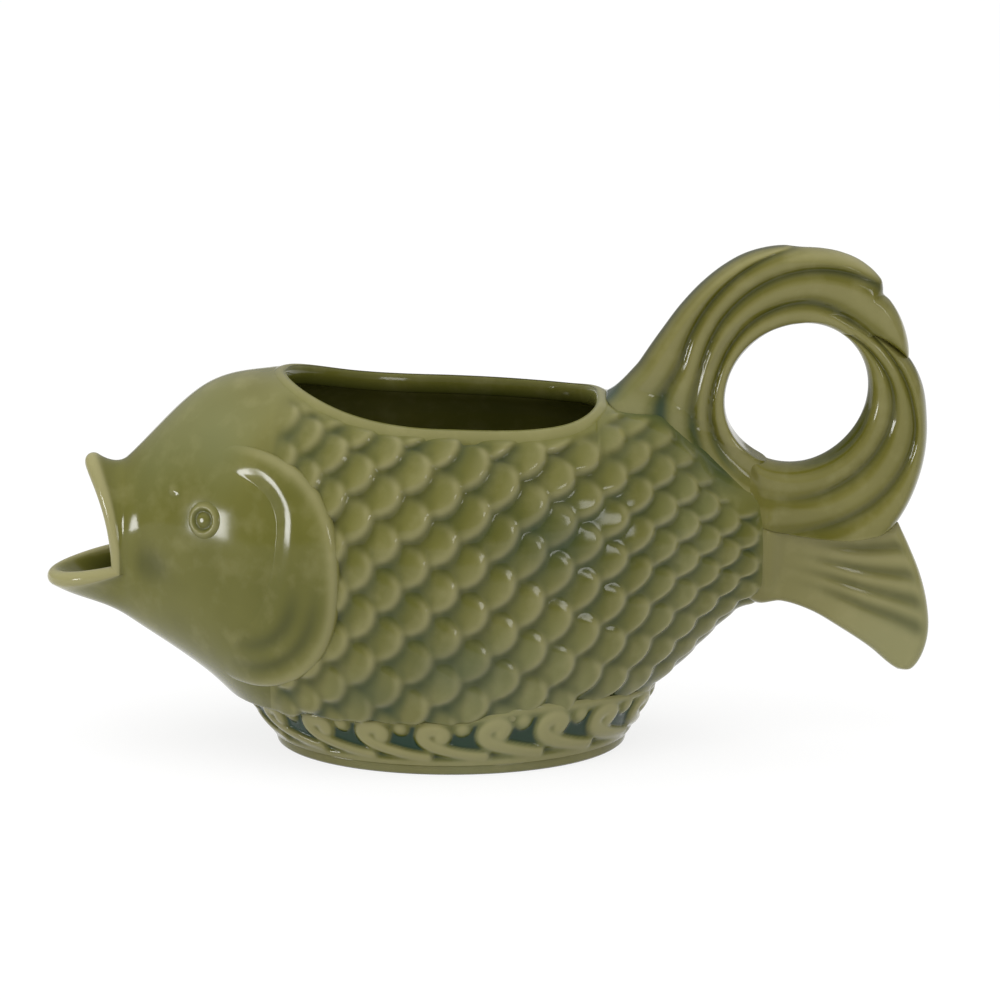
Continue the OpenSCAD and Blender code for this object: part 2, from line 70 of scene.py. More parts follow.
# Stations along the fish: x, crown, underside, half width, fullness of the section
jugBody = Sizes(
    wall=4.5,
    shoulder=0.63,  # radians of turn above which a section has a fifth of its points
    heart=55.0,  # height of a place well inside the body
    crownSheenHeights=(76.0, 96.0),  # heights between which the back is painted paler: painted light and sheen from above
    # height of the widest line, as a share of the way from the underside to the crown
    widest=[(mouthX, 0.46), (-67.0, 0.41), (seamX, 0.43), (0.0, 0.48), (46.5, 0.50), (forkX, 0.50)],
    stations=[
        (mouthX, 79.5, 34.5, 14.5, 2.0),
        (-67.0, 99.2, 20.5, 29.0, 2.05),
        (seamX, 103.4, 5.0, 38.0, 2.3),
        (-26.0, 102.0, -0.7, 41.8, 2.95),
        (0.0, 100.0, -2.0, 42.9, 3.5),
        (24.0, 98.8, 2.8, 38.6, 3.5),
        (46.5, 95.6, 11.0, 31.5, 2.7),
        (59.0, 93.6, 19.2, 24.5, 2.4),
        (tailX, 77.0, 36.6, 13.0, 2.2),
        (forkX, 71.5, 39.2, 8.6, 2.4),
    ],
)


def ease(t):
    t = np.clip(t, 0.0, 1.0)
    return t * t * (3.0 - 2.0 * t)


def mix(a, b, t):
    return a + (b - a) * t


# 0 at the start and 1 at the end, smooth between, whichever is the larger
def ramp(value, start, end):
    return ease((value - start) / (end - start))


def bell(t):
    return np.exp(-(t**2))


def fullTurn(count):
    return np.linspace(0, 2 * np.pi, count, endpoint=False)


# Smooth curve through a few points (x, value), read at any x
def follow(points, x):
    knots = np.array(points, float)
    kx, ky = knots[:, 0], knots[:, 1]
    last = len(kx) - 1
    before = np.maximum(np.arange(last + 1) - 1, 0)
    after = np.minimum(np.arange(last + 1) + 1, last)
    slope = (ky[after] - ky[before]) / (kx[after] - kx[before])
    x = np.asarray(x, float)
    k = np.clip(np.searchsorted(kx, x, side="right") - 1, 0, last - 1)
    span = kx[k + 1] - kx[k]
    t = (x - kx[k]) / span
    rise = (2 * t**3 - 3 * t**2 + 1) * ky[k] + (3 * t**2 - 2 * t**3) * ky[k + 1]
    return rise + span * ((t**3 - 2 * t**2 + t) * slope[k] + (t**3 - t**2) * slope[k + 1])


def station(column, x):
    return follow([(s[0], s[column]) for s in jugBody.stations], x)


def crownZ(x):
    return station(1, x)


def keelZ(x):
    return station(2, x)


def sideY(x):
    return station(3, x)


def fullness(x):
    return station(4, x)


# Paler towards the crown: painted light and sheen from above
def crownSheen(z):
    return ramp(z, *jugBody.crownSheenHeights)


# A profile's two columns, read at places counted in points along it
def readProfile(profile, at):
    return [follow(list(enumerate(column)), at) for column in np.array(profile).T]


# Height of the widest line, above the underside and below the crown
def widestZ(x):
    return mix(keelZ(x), crownZ(x), follow(jugBody.widest, x))


def blur(field, passes):
    for _ in range(passes):
        wide = np.pad(field, ((1, 1), (0, 0)), mode="edge")
        field = (wide[:-2] + 2 * field + wide[2:]) / 4
        wide = np.pad(field, ((0, 0), (1, 1)), mode="edge")
        field = (wide[:, :-2] + 2 * field + wide[:, 2:]) / 4
    return field


def unit(v):
    return v / np.maximum(np.linalg.norm(v, axis=-1, keepdims=True), 1e-9)


def gridNormals(points):
    return unit(np.cross(np.gradient(points, axis=0), np.gradient(points, axis=1)))


def linked(name, data):
    made = bpy.data.objects.new(name, data)
    bpy.context.scene.collection.objects.link(made)
    return made


weld = Sizes(join=2e-6, sliver=1e-7, sharpAngle=58)  # metres, metres and degrees


# One closed mesh over a row of rings, with its tints and, where given, the normals it is shaded with
def skin(name, rings, loop=False, tints=None, normals=None, outerCount=0):
    n, m = rings.shape[:2]
    index = np.arange(n * m).reshape(n, m)
    first = index if loop else index[:-1]
    second = np.roll(index, -1, 0) if loop else index[1:]
    quads = np.stack(
        [first, np.roll(first, -1, 1), np.roll(second, -1, 1), second], -1
    ).reshape(-1, 4)
    points = rings.reshape(-1, 3)
    faces = quads.tolist()
    for row in (index[0], index[-1]) if outerCount else ():
        lining = row[outerCount:][::-1].tolist()
        share = (outerCount - 1) // (len(lining) - 1)
        for i in range(len(lining) - 1):
            faces.append(row[i * share:(i + 1) * share + 1].tolist() + [lining[i + 1], lining[i]])
    if not loop and not outerCount:
        for row in (index[0], index[-1]):
            hub = len(points)
            points = np.vstack([points, rings.reshape(-1, 3)[row].mean(0)])
            faces += [[int(a), int(b), hub] for a, b in zip(row, np.roll(row, -1))]
    extra = len(points) - n * m
    mesh = bpy.data.meshes.new(name)
    mesh.from_pydata((points * mm).tolist(), [], faces)
    for tint, field in (tints or {}).items():
        layer = mesh.attributes.new(tint, "FLOAT", "POINT")
        layer.data.foreach_set("value", np.append(field.ravel(), np.zeros(extra)).astype(np.float32))
    if normals is not None:
        layer = mesh.attributes.new("aim", "FLOAT_VECTOR", "POINT")
        aims = np.vstack([normals.reshape(-1, 3), np.zeros((extra, 3))])
        layer.data.foreach_set("vector", aims.ravel().astype(np.float32))
    work = bmesh.new()
    work.from_mesh(mesh)
    bmesh.ops.remove_doubles(work, verts=work.verts, dist=weld.join)
    bmesh.ops.dissolve_degenerate(work, edges=work.edges, dist=weld.sliver)
    bmesh.ops.recalc_face_normals(work, faces=work.faces)
    if work.calc_volume(signed=True) < 0:
        bmesh.ops.reverse_faces(work, faces=work.faces)
    for face in work.faces:
        face.smooth = True
    work.to_mesh(mesh)
    work.free()
    if normals is not None:
        layer = mesh.attributes["aim"]
        aims = np.zeros(len(mesh.vertices) * 3, np.float32)
        layer.data.foreach_get("vector", aims)
        mesh.attributes.remove(layer)
        mesh.normals_split_custom_set_from_vertices(aims.reshape(-1, 3).tolist())
    else:
        mesh.set_sharp_from_angle(angle=math.radians(weld.sharpAngle))
    return linked(name, mesh)


def mirrored(field):
    return field * np.array([1.0, -1.0, 1.0])


# Near sheet and its mirror image joined to closed rings, and the same for its tints
def bothSides(field):
    return np.concatenate([field, mirrored(field)[:, -2:0:-1]], axis=1)


def tintBoth(tints):
    return {tint: np.concatenate([field, field[:, -2:0:-1]], axis=1) for tint, field in tints.items()}


def place(piece, slotName, material, *nodes):
    piece.data.materials.append(material)
    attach(piece, "root")
    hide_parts(*nodes)


# A piece on the right and its mirror image on the left
def placePair(kind, node, slotName, material, rings, normals=None, **rest):
    for side, name in ((1, "right"), (-1, "left")):
        flip = np.array([1.0, side, 1.0])
        aims = None if normals is None else normals * flip
        place(skin(name + kind, rings * flip, normals=aims, **rest), slotName, material, name + node)


# Glaze: olive over pale clay, thin on edges and pooled green in hollows; the pooled tint also carries
# painted shade, and the edge tint also carries painted light and sheen from above
glazeTones = Sizes(
    olive=(0.156, 0.151, 0.034, 1),
    deepOlive=(0.102, 0.101, 0.013, 1),
    finOlive=(0.160, 0.148, 0.030, 1),
    deepFin=(0.112, 0.103, 0.011, 1),
    pale=(0.330, 0.305, 0.140, 1),
    haze=(0.125, 0.150, 0.070, 1),
    # colours of glaze pooled in hollows, also used for painted shade in pockets, grooves and inside
    poolShadeOlive=(0.026, 0.030, 0.002, 1),
    poolShadeTeal=(0.005, 0.034, 0.020, 1),
    hazeSize=13.0,
    hazeFrom=(0.54, 0.70),
    hazeShare=0.55,
    blotchSize=26.0,
    blotchFrom=(0.35, 0.68),
    tealFrom=(0.62, 0.42),
    mottleSize=150.0,
    mottleFrom=(0.50, 0.75),
    mottleShare=0.2,
    poolShadeShare=0.97,
    wetShare=0.9,
    roughSpread=(0.7, 1.5),
    ior=1.5,
    specular=0.3,
    crazeBump=0.02,
    crazeDepth=0.0006,
)


def setInputs(tree, node, inputs):
    for socket, value in inputs.items():
        if isinstance(value, bpy.types.NodeSocket):
            tree.links.new(value, node.inputs[socket])
        else:
            node.inputs[socket].default_value = value


# Adds a shader node, gives its inputs values or the outputs of other nodes, and returns one output
def addNode(tree, kind, inputs, output=0, **settings):
    node = tree.nodes.new("ShaderNode" + kind)
    for key, value in settings.items():
        setattr(node, key, value)
    setInputs(tree, node, inputs)
    return node.outputs[output]


def glaze(name, body=glazeTones.olive, deep=glazeTones.deepOlive, edge=0.55, teal=0.5, roughness=0.1):
    material = bpy.data.materials.new(name)
    material.use_nodes = True
    tree = material.node_tree
    place3d = addNode(tree, "TexCoord", {}, "Object")

    def blend(factor, first, second):
        inputs = {0: factor, 6: first, 7: second}  # 6 and 7 are the colour sockets, and 2 on the way out
        return addNode(tree, "Mix", inputs, 2, data_type="RGBA")

    def times(first, second):
        return addNode(tree, "Math", {0: first, 1: second}, operation="MULTIPLY", use_clamp=True)

    def spread(source, low, high):
        return addNode(tree, "MapRange", {"Value": source, "From Min": low, "From Max": high}, clamp=True)

    def noise(size, detail):
        return addNode(tree, "TexNoise", {"Scale": size, "Detail": detail, "Vector": place3d}, "Fac")

    def tint(layer):
        return addNode(tree, "Attribute", {}, "Fac", attribute_name=layer)

    blotch = noise(glazeTones.blotchSize, 3.0)
    mottle = noise(glazeTones.mottleSize, 4.0)
    mist = noise(glazeTones.hazeSize, 2.0)
    colour = blend(spread(blotch, *glazeTones.blotchFrom), deep, body)
    hazy = times(spread(mist, *glazeTones.hazeFrom), glazeTones.hazeShare)
    colour = blend(hazy, colour, glazeTones.haze)
    flecked = times(spread(mottle, *glazeTones.mottleFrom), glazeTones.mottleShare)
    colour = blend(flecked, colour, glazeTones.pale)
    # edge tint: glaze rubbed thin, and in places painted light and sheen from above
    colour = blend(times(tint("edge"), edge), colour, glazeTones.pale)
    tealShare = times(spread(blotch, *glazeTones.tealFrom), teal)
    poolShadeColour = blend(tealShare, glazeTones.poolShadeOlive, glazeTones.poolShadeTeal)
    # pooled tint: glaze pooled in hollows, and painted shade
    colour = blend(times(tint("poolAndShade"), glazeTones.poolShadeShare), colour, poolShadeColour)
    colour = blend(times(tint("teal"), glazeTones.wetShare), colour, glazeTones.poolShadeTeal)
    least, most = [roughness * share for share in glazeTones.roughSpread]
    craze = {"Height": mottle, "Strength": glazeTones.crazeBump, "Distance": glazeTones.crazeDepth}
    setInputs(tree, tree.nodes["Principled BSDF"], {
        "Base Color": colour,
        "Roughness": addNode(tree, "MapRange", {"Value": mottle, "To Min": least, "To Max": most}),
        "IOR": glazeTones.ior,
        "Specular IOR Level": glazeTones.specular,
        "Normal": addNode(tree, "Bump", craze, "Normal"),
    })
    return material


bodyGlaze = glaze("bodyGlaze", edge=0.8, roughness=0.12)
headGlaze = glaze("headGlaze", edge=0.5, teal=0.1)
lipGlaze = glaze("lipGlaze", edge=0.85, teal=0.2)
finGlaze = glaze("finGlaze", glazeTones.finOlive, glazeTones.deepFin, edge=0.6, teal=0.2)
footGlaze = glaze("footGlaze", edge=0.7, teal=1.0)
eyeGlaze = glaze("eyeGlaze", edge=0.4)
print("glazes mixed")

# Filling opening: an oval seen from above, bounded by the rim
opening = Sizes(
    widestX=-2.6,
    frontRim=2.9,
    rearRim=6.2,
    sideRim=3.5,
    frontSquare=1.95,
    rearSquare=2.8,
)
fillerX = opening.widestX
frontLong = fillerX - rimLow[0] - opening.frontRim
rearLong = rimHigh[0] - opening.rearRim - fillerX
fillerB = (rimHigh[1] - rimLow[1]) / 2 - opening.sideRim


# Length and squareness of the opening, in front of its widest place and behind it
def gapForm(behind):
    long = np.where(behind, rearLong, frontLong)
    return long, np.where(behind, opening.rearSquare, opening.frontSquare)


def gapY(x):
    long, square = gapForm(x > fillerX)
    return fillerB * max(0.0, 1 - abs((x - fillerX) / long) ** square) ** (1 / square)


shell = Sizes(
    step=0.55,
    around=196,
    inside=40,
    endStep=3,  # steps laid beyond each end, for the normals there
    fine=420,
    upperPart=5,  # one point in five lies above the shoulder
    openFrom=0.5,
    liningShade=0.25,
)
justInside = 0.999  # share of the half width that a place may reach


# Half section from the opening's edge, or the crown, down to the keel, at even steps along its length
def halfSection(x, depth, count):
    full = float(fullness(x))
    crown, keel = float(crownZ(x)), float(keelZ(x))
    middle = float(widestZ(x))
    side = float(sideY(x)) - depth
    high, low = crown - depth - middle, middle - keel - depth
    edge = min(gapY(x) / side, justInside)
    start = math.acos(edge ** (full / 2))
    k = np.linspace(0, 1, shell.fine)
    turn = start + (-math.pi / 2 - start) * k
    c, s = np.cos(turn).clip(0), np.sin(turn)
    y = side * c ** (2 / full)
    z = middle + np.where(s > 0, high, -low) * np.abs(s) ** (2 / full)
    z = np.maximum(z, footTop + depth)
    run = np.append(0, np.cumsum(np.hypot(np.diff(y), np.diff(z))))
    belt = np.interp(-middle, -z, run)
    shoulder = np.interp(-jugBody.shoulder, -turn, run)
    above = count // shell.upperPart
    upperPart = np.linspace(0, shoulder, above, endpoint=False)
    at = np.append(upperPart, np.linspace(shoulder, run[-1], count - above))
    return np.interp(at, run, y), np.interp(at, run, z), belt - at


def halfSheet(xs, depth, count):
    points = np.zeros((len(xs), count, 3))
    height = np.zeros((len(xs), count))
    for i, x in enumerate(xs):
        y, z, w = halfSection(x, depth, count)
        points[i, :, 0], points[i, :, 1], points[i, :, 2] = x, y, z
        height[i] = w
    return points, height


# Normals of a half sheet, worked out across the middle plane and a step beyond each end
def sheetNormals(points):
    wide = np.concatenate(
        [mirrored(points[:, 2:0:-1]), points, mirrored(points[:, -2:-4:-1])], axis=1
    )
    isOpen = np.abs(points[:, 0, 1]) > shell.openFrom
    wide[isOpen, :2] = points[isOpen, :1] * 2 - points[isOpen, 2:0:-1]
    normals = gridNormals(wide)[:, 2:-2]
    outward = points - np.array([0, 0, jugBody.heart])
    outward[..., 0] = 0
    return normals * np.sign((normals * outward).sum(-1).mean())


# Scales: staggered rows of rounded discs, each tipped up towards its free edge, which points to the tail
# and a little down
scales = Sizes(
    relief=2.3,
    dome=0.5,
    domeFrom=(-1.0, 0.3),
    lean=24.0,
    roundOver=0.34,
    sink=1.15,
    wander=0.07,
    columnWaves=(17.0, 8.0),
    rowWaves=(9.0, 21.0),
    column=[(seamX, 6.1), (0.0, 7.8), (46.0, 7.0), (tailX, 5.4), (forkX, 5.0)],
    row=[(seamX, 11.8), (0.0, 13.6), (46.0, 11.6), (tailX, 8.6), (forkX, 7.6)],
    fullRow=13.4,  # row height at which the relief is whole
    past=4.0,  # length beyond the body over which columns are counted
    fine=900,
    poolShadeDeep=0.9,
    poolShadeFrom=(0.25, -0.65),
    poolShadeEdge=0.25,
    shadeReach=0.32,
    shadeSlope=1.1,
    rubAt=(0.55, 0.4),
    rubFrom=(0.1, 0.6),
)
columnX = np.linspace(seamX - scales.past, forkX + scales.past, scales.fine)
columnAt = np.cumsum(1 / follow(scales.column, columnX)) * (columnX[1] - columnX[0])


def wander(x, w, waves):
    return scales.wander * np.sin(x / waves[0] + w / waves[1])


# Scales that may lie at a place: how far along each and how far out from its middle
def nearScales(x, w):
    c = np.interp(x, columnX, columnAt) + wander(x, w, scales.columnWaves)
    r = w / follow(scales.row, x) + wander(x, w, scales.rowWaves)
    lean = math.radians(scales.lean)
    for column in (np.floor(c), np.floor(c) + 1):
        stagger = 0.5 * (column % 2)
        a = c - column
        for row in (-1, 0, 1):
            d = 2 * (r - stagger - np.round(r - stagger) - row)
            along = a * math.cos(lean) - d * math.sin(lean)
            across = a * math.sin(lean) + d * math.cos(lean)
            yield along, across, np.where(along > 0, np.hypot(along, across), np.abs(across))


# Height of the scales, with the glaze pooled in their pockets and rubbed thin on their free edges, and
# painted shade beside the edges that overlap them
def scaleForm(x, w):
    found = list(nearScales(x, w))
    height, top, out = np.zeros_like(x), np.full_like(x, -1.0), np.ones_like(x)
    for along, across, reach in found:
        inside = np.clip((1 - reach) / scales.roundOver, 0, 1)
        roof = scales.relief * (along + 1) / 2
        roof = roof + scales.dome * (1 - across**2) * ramp(along, *scales.domeFrom)
        roof = np.maximum(roof, 0) * np.sqrt(1 - (1 - inside) ** 2)
        over = roof > height
        top = np.where(over, along, top)
        out = np.where(over, reach, out)
        height = np.where(over, roof, height)
    # painted shade on a scale just beside the free edge of a scale that overlaps it
    shade = np.zeros_like(x)
    for along, across, reach in found:
        beside = np.exp(-np.maximum(reach - 1, 0) / scales.shadeReach)
        beside = beside * np.clip((along - top) / scales.shadeSlope, 0, 1)
        shade = np.maximum(shade, np.where(reach > 1, beside, 0))
    inside = np.clip((1 - out) / scales.roundOver, 0, 1)
    # darker towards each scale's root and its rolled edge: glaze pooled there, and painted shade
    poolAndShade = scales.poolShadeDeep * np.maximum(ramp(top, *scales.poolShadeFrom), shade)
    poolAndShade = poolAndShade + scales.poolShadeEdge * (1 - inside) ** 2
    rubAt, rubWide = scales.rubAt
    rub = bell((inside - rubAt) / rubWide) * ramp(top, *scales.rubFrom)
    height = height * follow(scales.row, x) / scales.fullRow
    return [blur(field, 2) for field in (height, poolAndShade, rub)]


# Bare places: pairs are where the scales start and where they are whole, in millimetres or in shares
bare = Sizes(
    frontMargin=4.8,
    sideMargin=2.4,
    collarFrom=70.0,  # height above which the collar's plan counts
    collarEdge=(0.985, 1.045),
    seam=(0.3, 3.8),
    nape=(1.0, 9.0, 100.0, 12.0),  # start and length behind the seam, height and fall
    saddleFront=(41.0, 45.0),
    saddleRear=(90.0, 86.0),
    saddleUp=(64.0, 68.0),
    saddleSide=(10.5, 14.5),
    coverEdge=(0.78, 0.88),
    fork=(0.4, 3.2),
    footMargin=5.0,
    footReach=45.0,
    footEdge=(0.95, 1.0),
)


# Where scales are laid: not under the collar, the gill cover, the saddle of the handle or inside the foot
def scaleFade(x, points):
    y, z = np.abs(points[..., 1]), points[..., 2]
    long, square = gapForm(x > fillerX)
    far = np.abs(x - fillerX) / (long + bare.frontMargin)
    plan = (far**square + (y / (fillerB + bare.sideMargin)) ** square) ** (1 / square)
    top = np.where(z > bare.collarFrom, ramp(plan, *bare.collarEdge), 1.0)
    start, long, high, tall = bare.nape
    nape = ease((x - seamX - start) / long + (high - z) / tall) * ramp(x - seamX, *bare.seam)
    saddle = ramp(x, *bare.saddleFront) * ramp(x, *bare.saddleRear) * ramp(z, *bare.saddleUp)
    gillLong, gillTall = gillHigh[0] - gillLow[0], gillHigh[2] - gillLow[2]
    cover = np.hypot((x - gillLow[0]) / gillLong, (2 * z - gillLow[2] - gillHigh[2]) / gillTall)
    under = np.hypot(x / (footHigh[0] + bare.footMargin), y / footHigh[1])
    plain = np.where(z < bare.footReach, ramp(under, *bare.footEdge), 1.0)
    laid = top * nape * plain * ramp(cover, *bare.coverEdge) * ramp(forkX - x, *bare.fork)
    return laid * (1 - saddle * (1 - ramp(y, *bare.saddleSide)))


scaleTints = Sizes(
    patches=[(28.0, 66.0, 11.0, 9.0), (2.0, 32.0, 15.0, 8.0), (-22.0, 24.0, 9.0, 6.0)],  # x, z, long, tall
    patchTeal=0.4,
    saddleTeal=0.7,
    saddleSide=(16.0, 8.0),
    saddleFront=(43.0, 48.0),
    saddleRear=(82.0, 74.0),
    saddleUp=(70.0, 78.0),
    lowTeal=0.6,
    lowTealFrom=(30.0, 18.0),
    # painted sheen from above on the nape
    napeSheen=0.24,
    napeLong=22.0,
    # paler towards the bottom of the belly, except in the pockets
    lowPale=0.3,
    lowPaleFrom=(44.0, 20.0),
    lowPaleRear=(60.0, 45.0),
    forkDive=(0.5, 1.2),  # depth and length of the dip where the stem meets the fins
)


def scalySheet(xs):
    points, w = halfSheet(xs, 0.0, shell.around)
    normals = sheetNormals(points)
    x, y, z = points[..., 0], np.abs(points[..., 1]), points[..., 2]
    height, poolAndShade, edge = scaleForm(x, w)
    fade = scaleFade(x, points)
    poolAndShade, edge = poolAndShade * fade, edge * fade
    deep, long = scaleTints.forkDive
    dive = deep * ramp(x, forkX - long, forkX)
    lifted = points + normals * ((height - scales.sink) * fade - dive)[..., None]
    teal = ramp(x, *scaleTints.saddleFront) * ramp(x, *scaleTints.saddleRear) * scaleTints.saddleTeal
    teal = teal * ramp(y, *scaleTints.saddleSide) * ramp(z, *scaleTints.saddleUp)
    teal = np.maximum(teal, poolAndShade * ramp(z, *scaleTints.lowTealFrom) * scaleTints.lowTeal)
    for atX, atZ, long, tall in scaleTints.patches:
        patch = bell(np.hypot((x - atX) / long, (z - atZ) / tall))
        teal = np.maximum(teal, scaleTints.patchTeal * patch)
    # painted sheen from above on the nape, and paler towards the bottom of the belly
    paleAndSheen = scaleTints.napeSheen * crownSheen(z) * ramp(x, seamX + scaleTints.napeLong, seamX)
    low = ramp(z, *scaleTints.lowPaleFrom) * ramp(x, *scaleTints.lowPaleRear)
    paleAndSheen = paleAndSheen + scaleTints.lowPale * low * (1 - poolAndShade)
    return lifted, sheetNormals(lifted), {"poolAndShade": poolAndShade, "edge": np.maximum(edge, paleAndSheen), "teal": teal}


# A sheet from low to high, worked out a little past both ends for the sake of its normals
def cutSheet(sheet, low, high):
    count = int(round((high - low) / shell.step))
    step = (high - low) / count
    pad = shell.endStep
    xs = np.linspace(low - pad * step, high + pad * step, count + 1 + 2 * pad)
    cut = slice(pad, -pad)
    points, normals, tints = sheet(xs)
    return xs[cut], points[cut], normals[cut], {tint: field[cut] for tint, field in tints.items()}


# Both halves of a hollow length of the fish: the outer sheet and its lining
def shellPair(kind, node, slotName, material, sheet, low, high):
    xs, outer, normals, tints = cutSheet(sheet, low, high)
    lining, _ = halfSheet(xs, jugBody.wall, shell.inside)
    rings = np.concatenate([outer, lining[:, ::-1]], axis=1)
    normals = np.concatenate([normals, -sheetNormals(lining)[:, ::-1]], axis=1)
    # the lining is painted darker all over: painted shade inside the jug
    inner = np.full(lining.shape[:2], shell.liningShade)
    for tint, field in tints.items():
        tints[tint] = np.concatenate([field, inner * (tint == "poolAndShade")], axis=1)
    placePair(kind, node, slotName, material, rings, normals, tints=tints, outerCount=outer.shape[1])


shellPair("BodyHalf", "_body_half", "body_glaze", bodyGlaze, scalySheet, seamX, tailX)
print("body halves pressed")

# Head: smooth, with a soft hollow at the corner of the mouth, one behind the lips, and a nostril
head = Sizes(
    dimple=(-82.0, 53.0, 5.5, 1.3),  # x, z, radius, depth
    nostril=(-74.6, 75.5, 1.2, 0.4),  # x, z, radius, height
    lipHollow=(-83.5, 5.0, 0.3),  # x, length, depth
    hollowLow=(48.0, 58.0),
    hollowHigh=(82.0, 74.0),
    mouthFade=4.0,
    rubFull=0.8,
    # share of the painted sheen from above towards the crown
    crownSheenShare=0.35,
    poolShadeFull=1.6,
    poolShadeShare=0.45,
)


def headSheet(xs):
    points, _ = halfSheet(xs, 0.0, shell.around)
    normals = sheetNormals(points)
    x, z = points[..., 0], points[..., 2]
    dx, dz, size, deep = head.dimple
    lift = -deep * bell(np.hypot(x - dx, z - dz) / size)
    nx, nz, size, high = head.nostril
    lift += high * bell(np.hypot(x - nx, z - nz) / size)
    hx, size, deep = head.lipHollow
    lift -= deep * bell((x - hx) / size) * ramp(z, *head.hollowLow) * ramp(z, *head.hollowHigh)
    lift = lift * ramp(x, mouthX, mouthX + head.mouthFade)
    lifted = points + normals * lift[..., None]
    # paler on raised bumps where the glaze runs thin, and painted sheen from above towards the crown
    paleAndSheen = np.maximum(ease(lift / head.rubFull), head.crownSheenShare * crownSheen(z))
    # darker in the hollows: glaze pooled there, and painted shade
    poolAndShade = ease(-lift / head.poolShadeFull) * head.poolShadeShare
    return lifted, sheetNormals(lifted), {"poolAndShade": poolAndShade, "edge": paleAndSheen}


shellPair("HeadHalf", "_head_half", "head_glaze", headGlaze, headSheet, mouthX, seamX)
print("head halves pressed")


def cheekY(x, z):
    full = fullness(x)
    middle = widestZ(x)
    rise = np.abs(z - middle) / np.where(z > middle, crownZ(x) - middle, middle - keelZ(x))
    return sideY(x) * np.maximum(0, 1 - rise**full) ** (1 / full)


def cheekNormal(x, z):
    step = 0.5
    across = (cheekY(x + step, z) - cheekY(x - step, z)) / (2 * step)
    up = (cheekY(x, z + step) - cheekY(x, z - step)) / (2 * step)
    return unit(np.stack([-across, np.ones_like(across), -up], axis=-1))


# Gill cover: flush with the cheek in front, a rounded raised edge behind, grooves inside it
gill = Sizes(
    middle=(gillLow[0] - 1.0, (gillLow[2] + gillHigh[2]) / 2 - 0.8),
    rear=gillHigh[0] - gillLow[0] + 2.6,
    front=13.0,
    tall=(gillHigh[2] - gillLow[2]) / 2 + 1.2,
    square=2.6,
    edgeRise=2.0,
    rearFrom=(-2.0, 15.0),
    hollow=(70.5, 18.2, 14.5, 40.0),  # height of its middle, reach back, up and down
    climb=(0.79, 1.22),
    climbSoft=0.05,
    press=(0.06, 0.4),
    sink=0.7,
    belly=0.8,
    edgeRound=0.085,
    grooves=[(0.62, 0.065, 0.45), (0.80, 0.055, 0.30)],  # place, width, depth
    groovesBelow=(0.05, -0.65),
    groovePoolShade=0.55,
    rubAt=(0.95, 0.05),
    # share of the painted sheen from above towards the crown
    crownSheenShare=0.35,
    crowding=1.5,
    rings=72,
    around=160,
)


def gillSheet(turn, r, under):
    gx, gz = gill.middle
    along = np.cos(turn)
    square = np.where(along > 0, gill.square, 2.0)
    reach = (np.abs(along) ** square + np.abs(np.sin(turn)) ** square) ** (-1 / square)
    long = np.where(along > 0, gill.rear, gill.front)
    x = gx + long * r * along * reach
    z = gz + gill.tall * r * np.sin(turn) * reach
    base = np.stack([x, cheekY(x, z), z], axis=-1)
    behind = ramp(x - gx, *gill.rearFrom)
    middleZ, back, above, below = gill.hollow
    slope = np.hypot((x - gx) / back, (z - middleZ) / np.where(z > middleZ, above, below))
    start, end = gill.climb
    climb = np.clip((slope - start) / (end - start), 0, 1)
    climb = (1 + gill.climbSoft) * climb**2 / (climb + gill.climbSoft)
    lift = gill.edgeRise * behind * (1 - (1 - climb) ** 2)
    deep, flush = gill.press
    lift = lift - deep * (1 - ease(lift / flush))
    share = behind * ramp(np.sin(turn), *gill.groovesBelow)
    poolAndShade = np.zeros_like(r)
    # the grooves are darkened: glaze pooled there, and painted shade
    for at, wide, deep in gill.grooves:
        dip = share * bell((r - at) / wide)
        lift = lift - deep * dip
        poolAndShade = poolAndShade + gill.groovePoolShade * dip
    inside = np.clip((1 - r) / gill.edgeRound, 0, 1)
    lift = mix(-gill.sink, lift, np.sqrt(1 - (1 - inside) ** 2))
    at, wide = gill.rubAt
    # paler on the raised edge where the glaze runs thin, and painted sheen from above towards the crown
    edge = np.maximum(behind * bell((r - at) / wide), gill.crownSheenShare * crownSheen(z))
    if under:
        lift = -gill.sink - gill.belly * (1 - r**4)
    return base + cheekNormal(x, z) * lift[..., None], poolAndShade, edge


r = 1 - (1 - np.linspace(0.0, 1.0, gill.rings)) ** gill.crowding
turnGrid, rGrid = np.meshgrid(fullTurn(gill.around), r)
outside, poolAndShade, edge = gillSheet(turnGrid, rGrid, False)
inside = gillSheet(turnGrid, rGrid, True)[0]
rings = np.concatenate([outside[1:], inside[-2:0:-1]])
plainBack = np.zeros_like(poolAndShade[1:-1])
tints = {"poolAndShade": np.concatenate([poolAndShade[1:], plainBack]), "edge": np.concatenate([edge[1:], plainBack])}
placePair("GillCover", "_gill_cover", "head_glaze", headGlaze, rings, tints=tints)
print("gill covers luted")

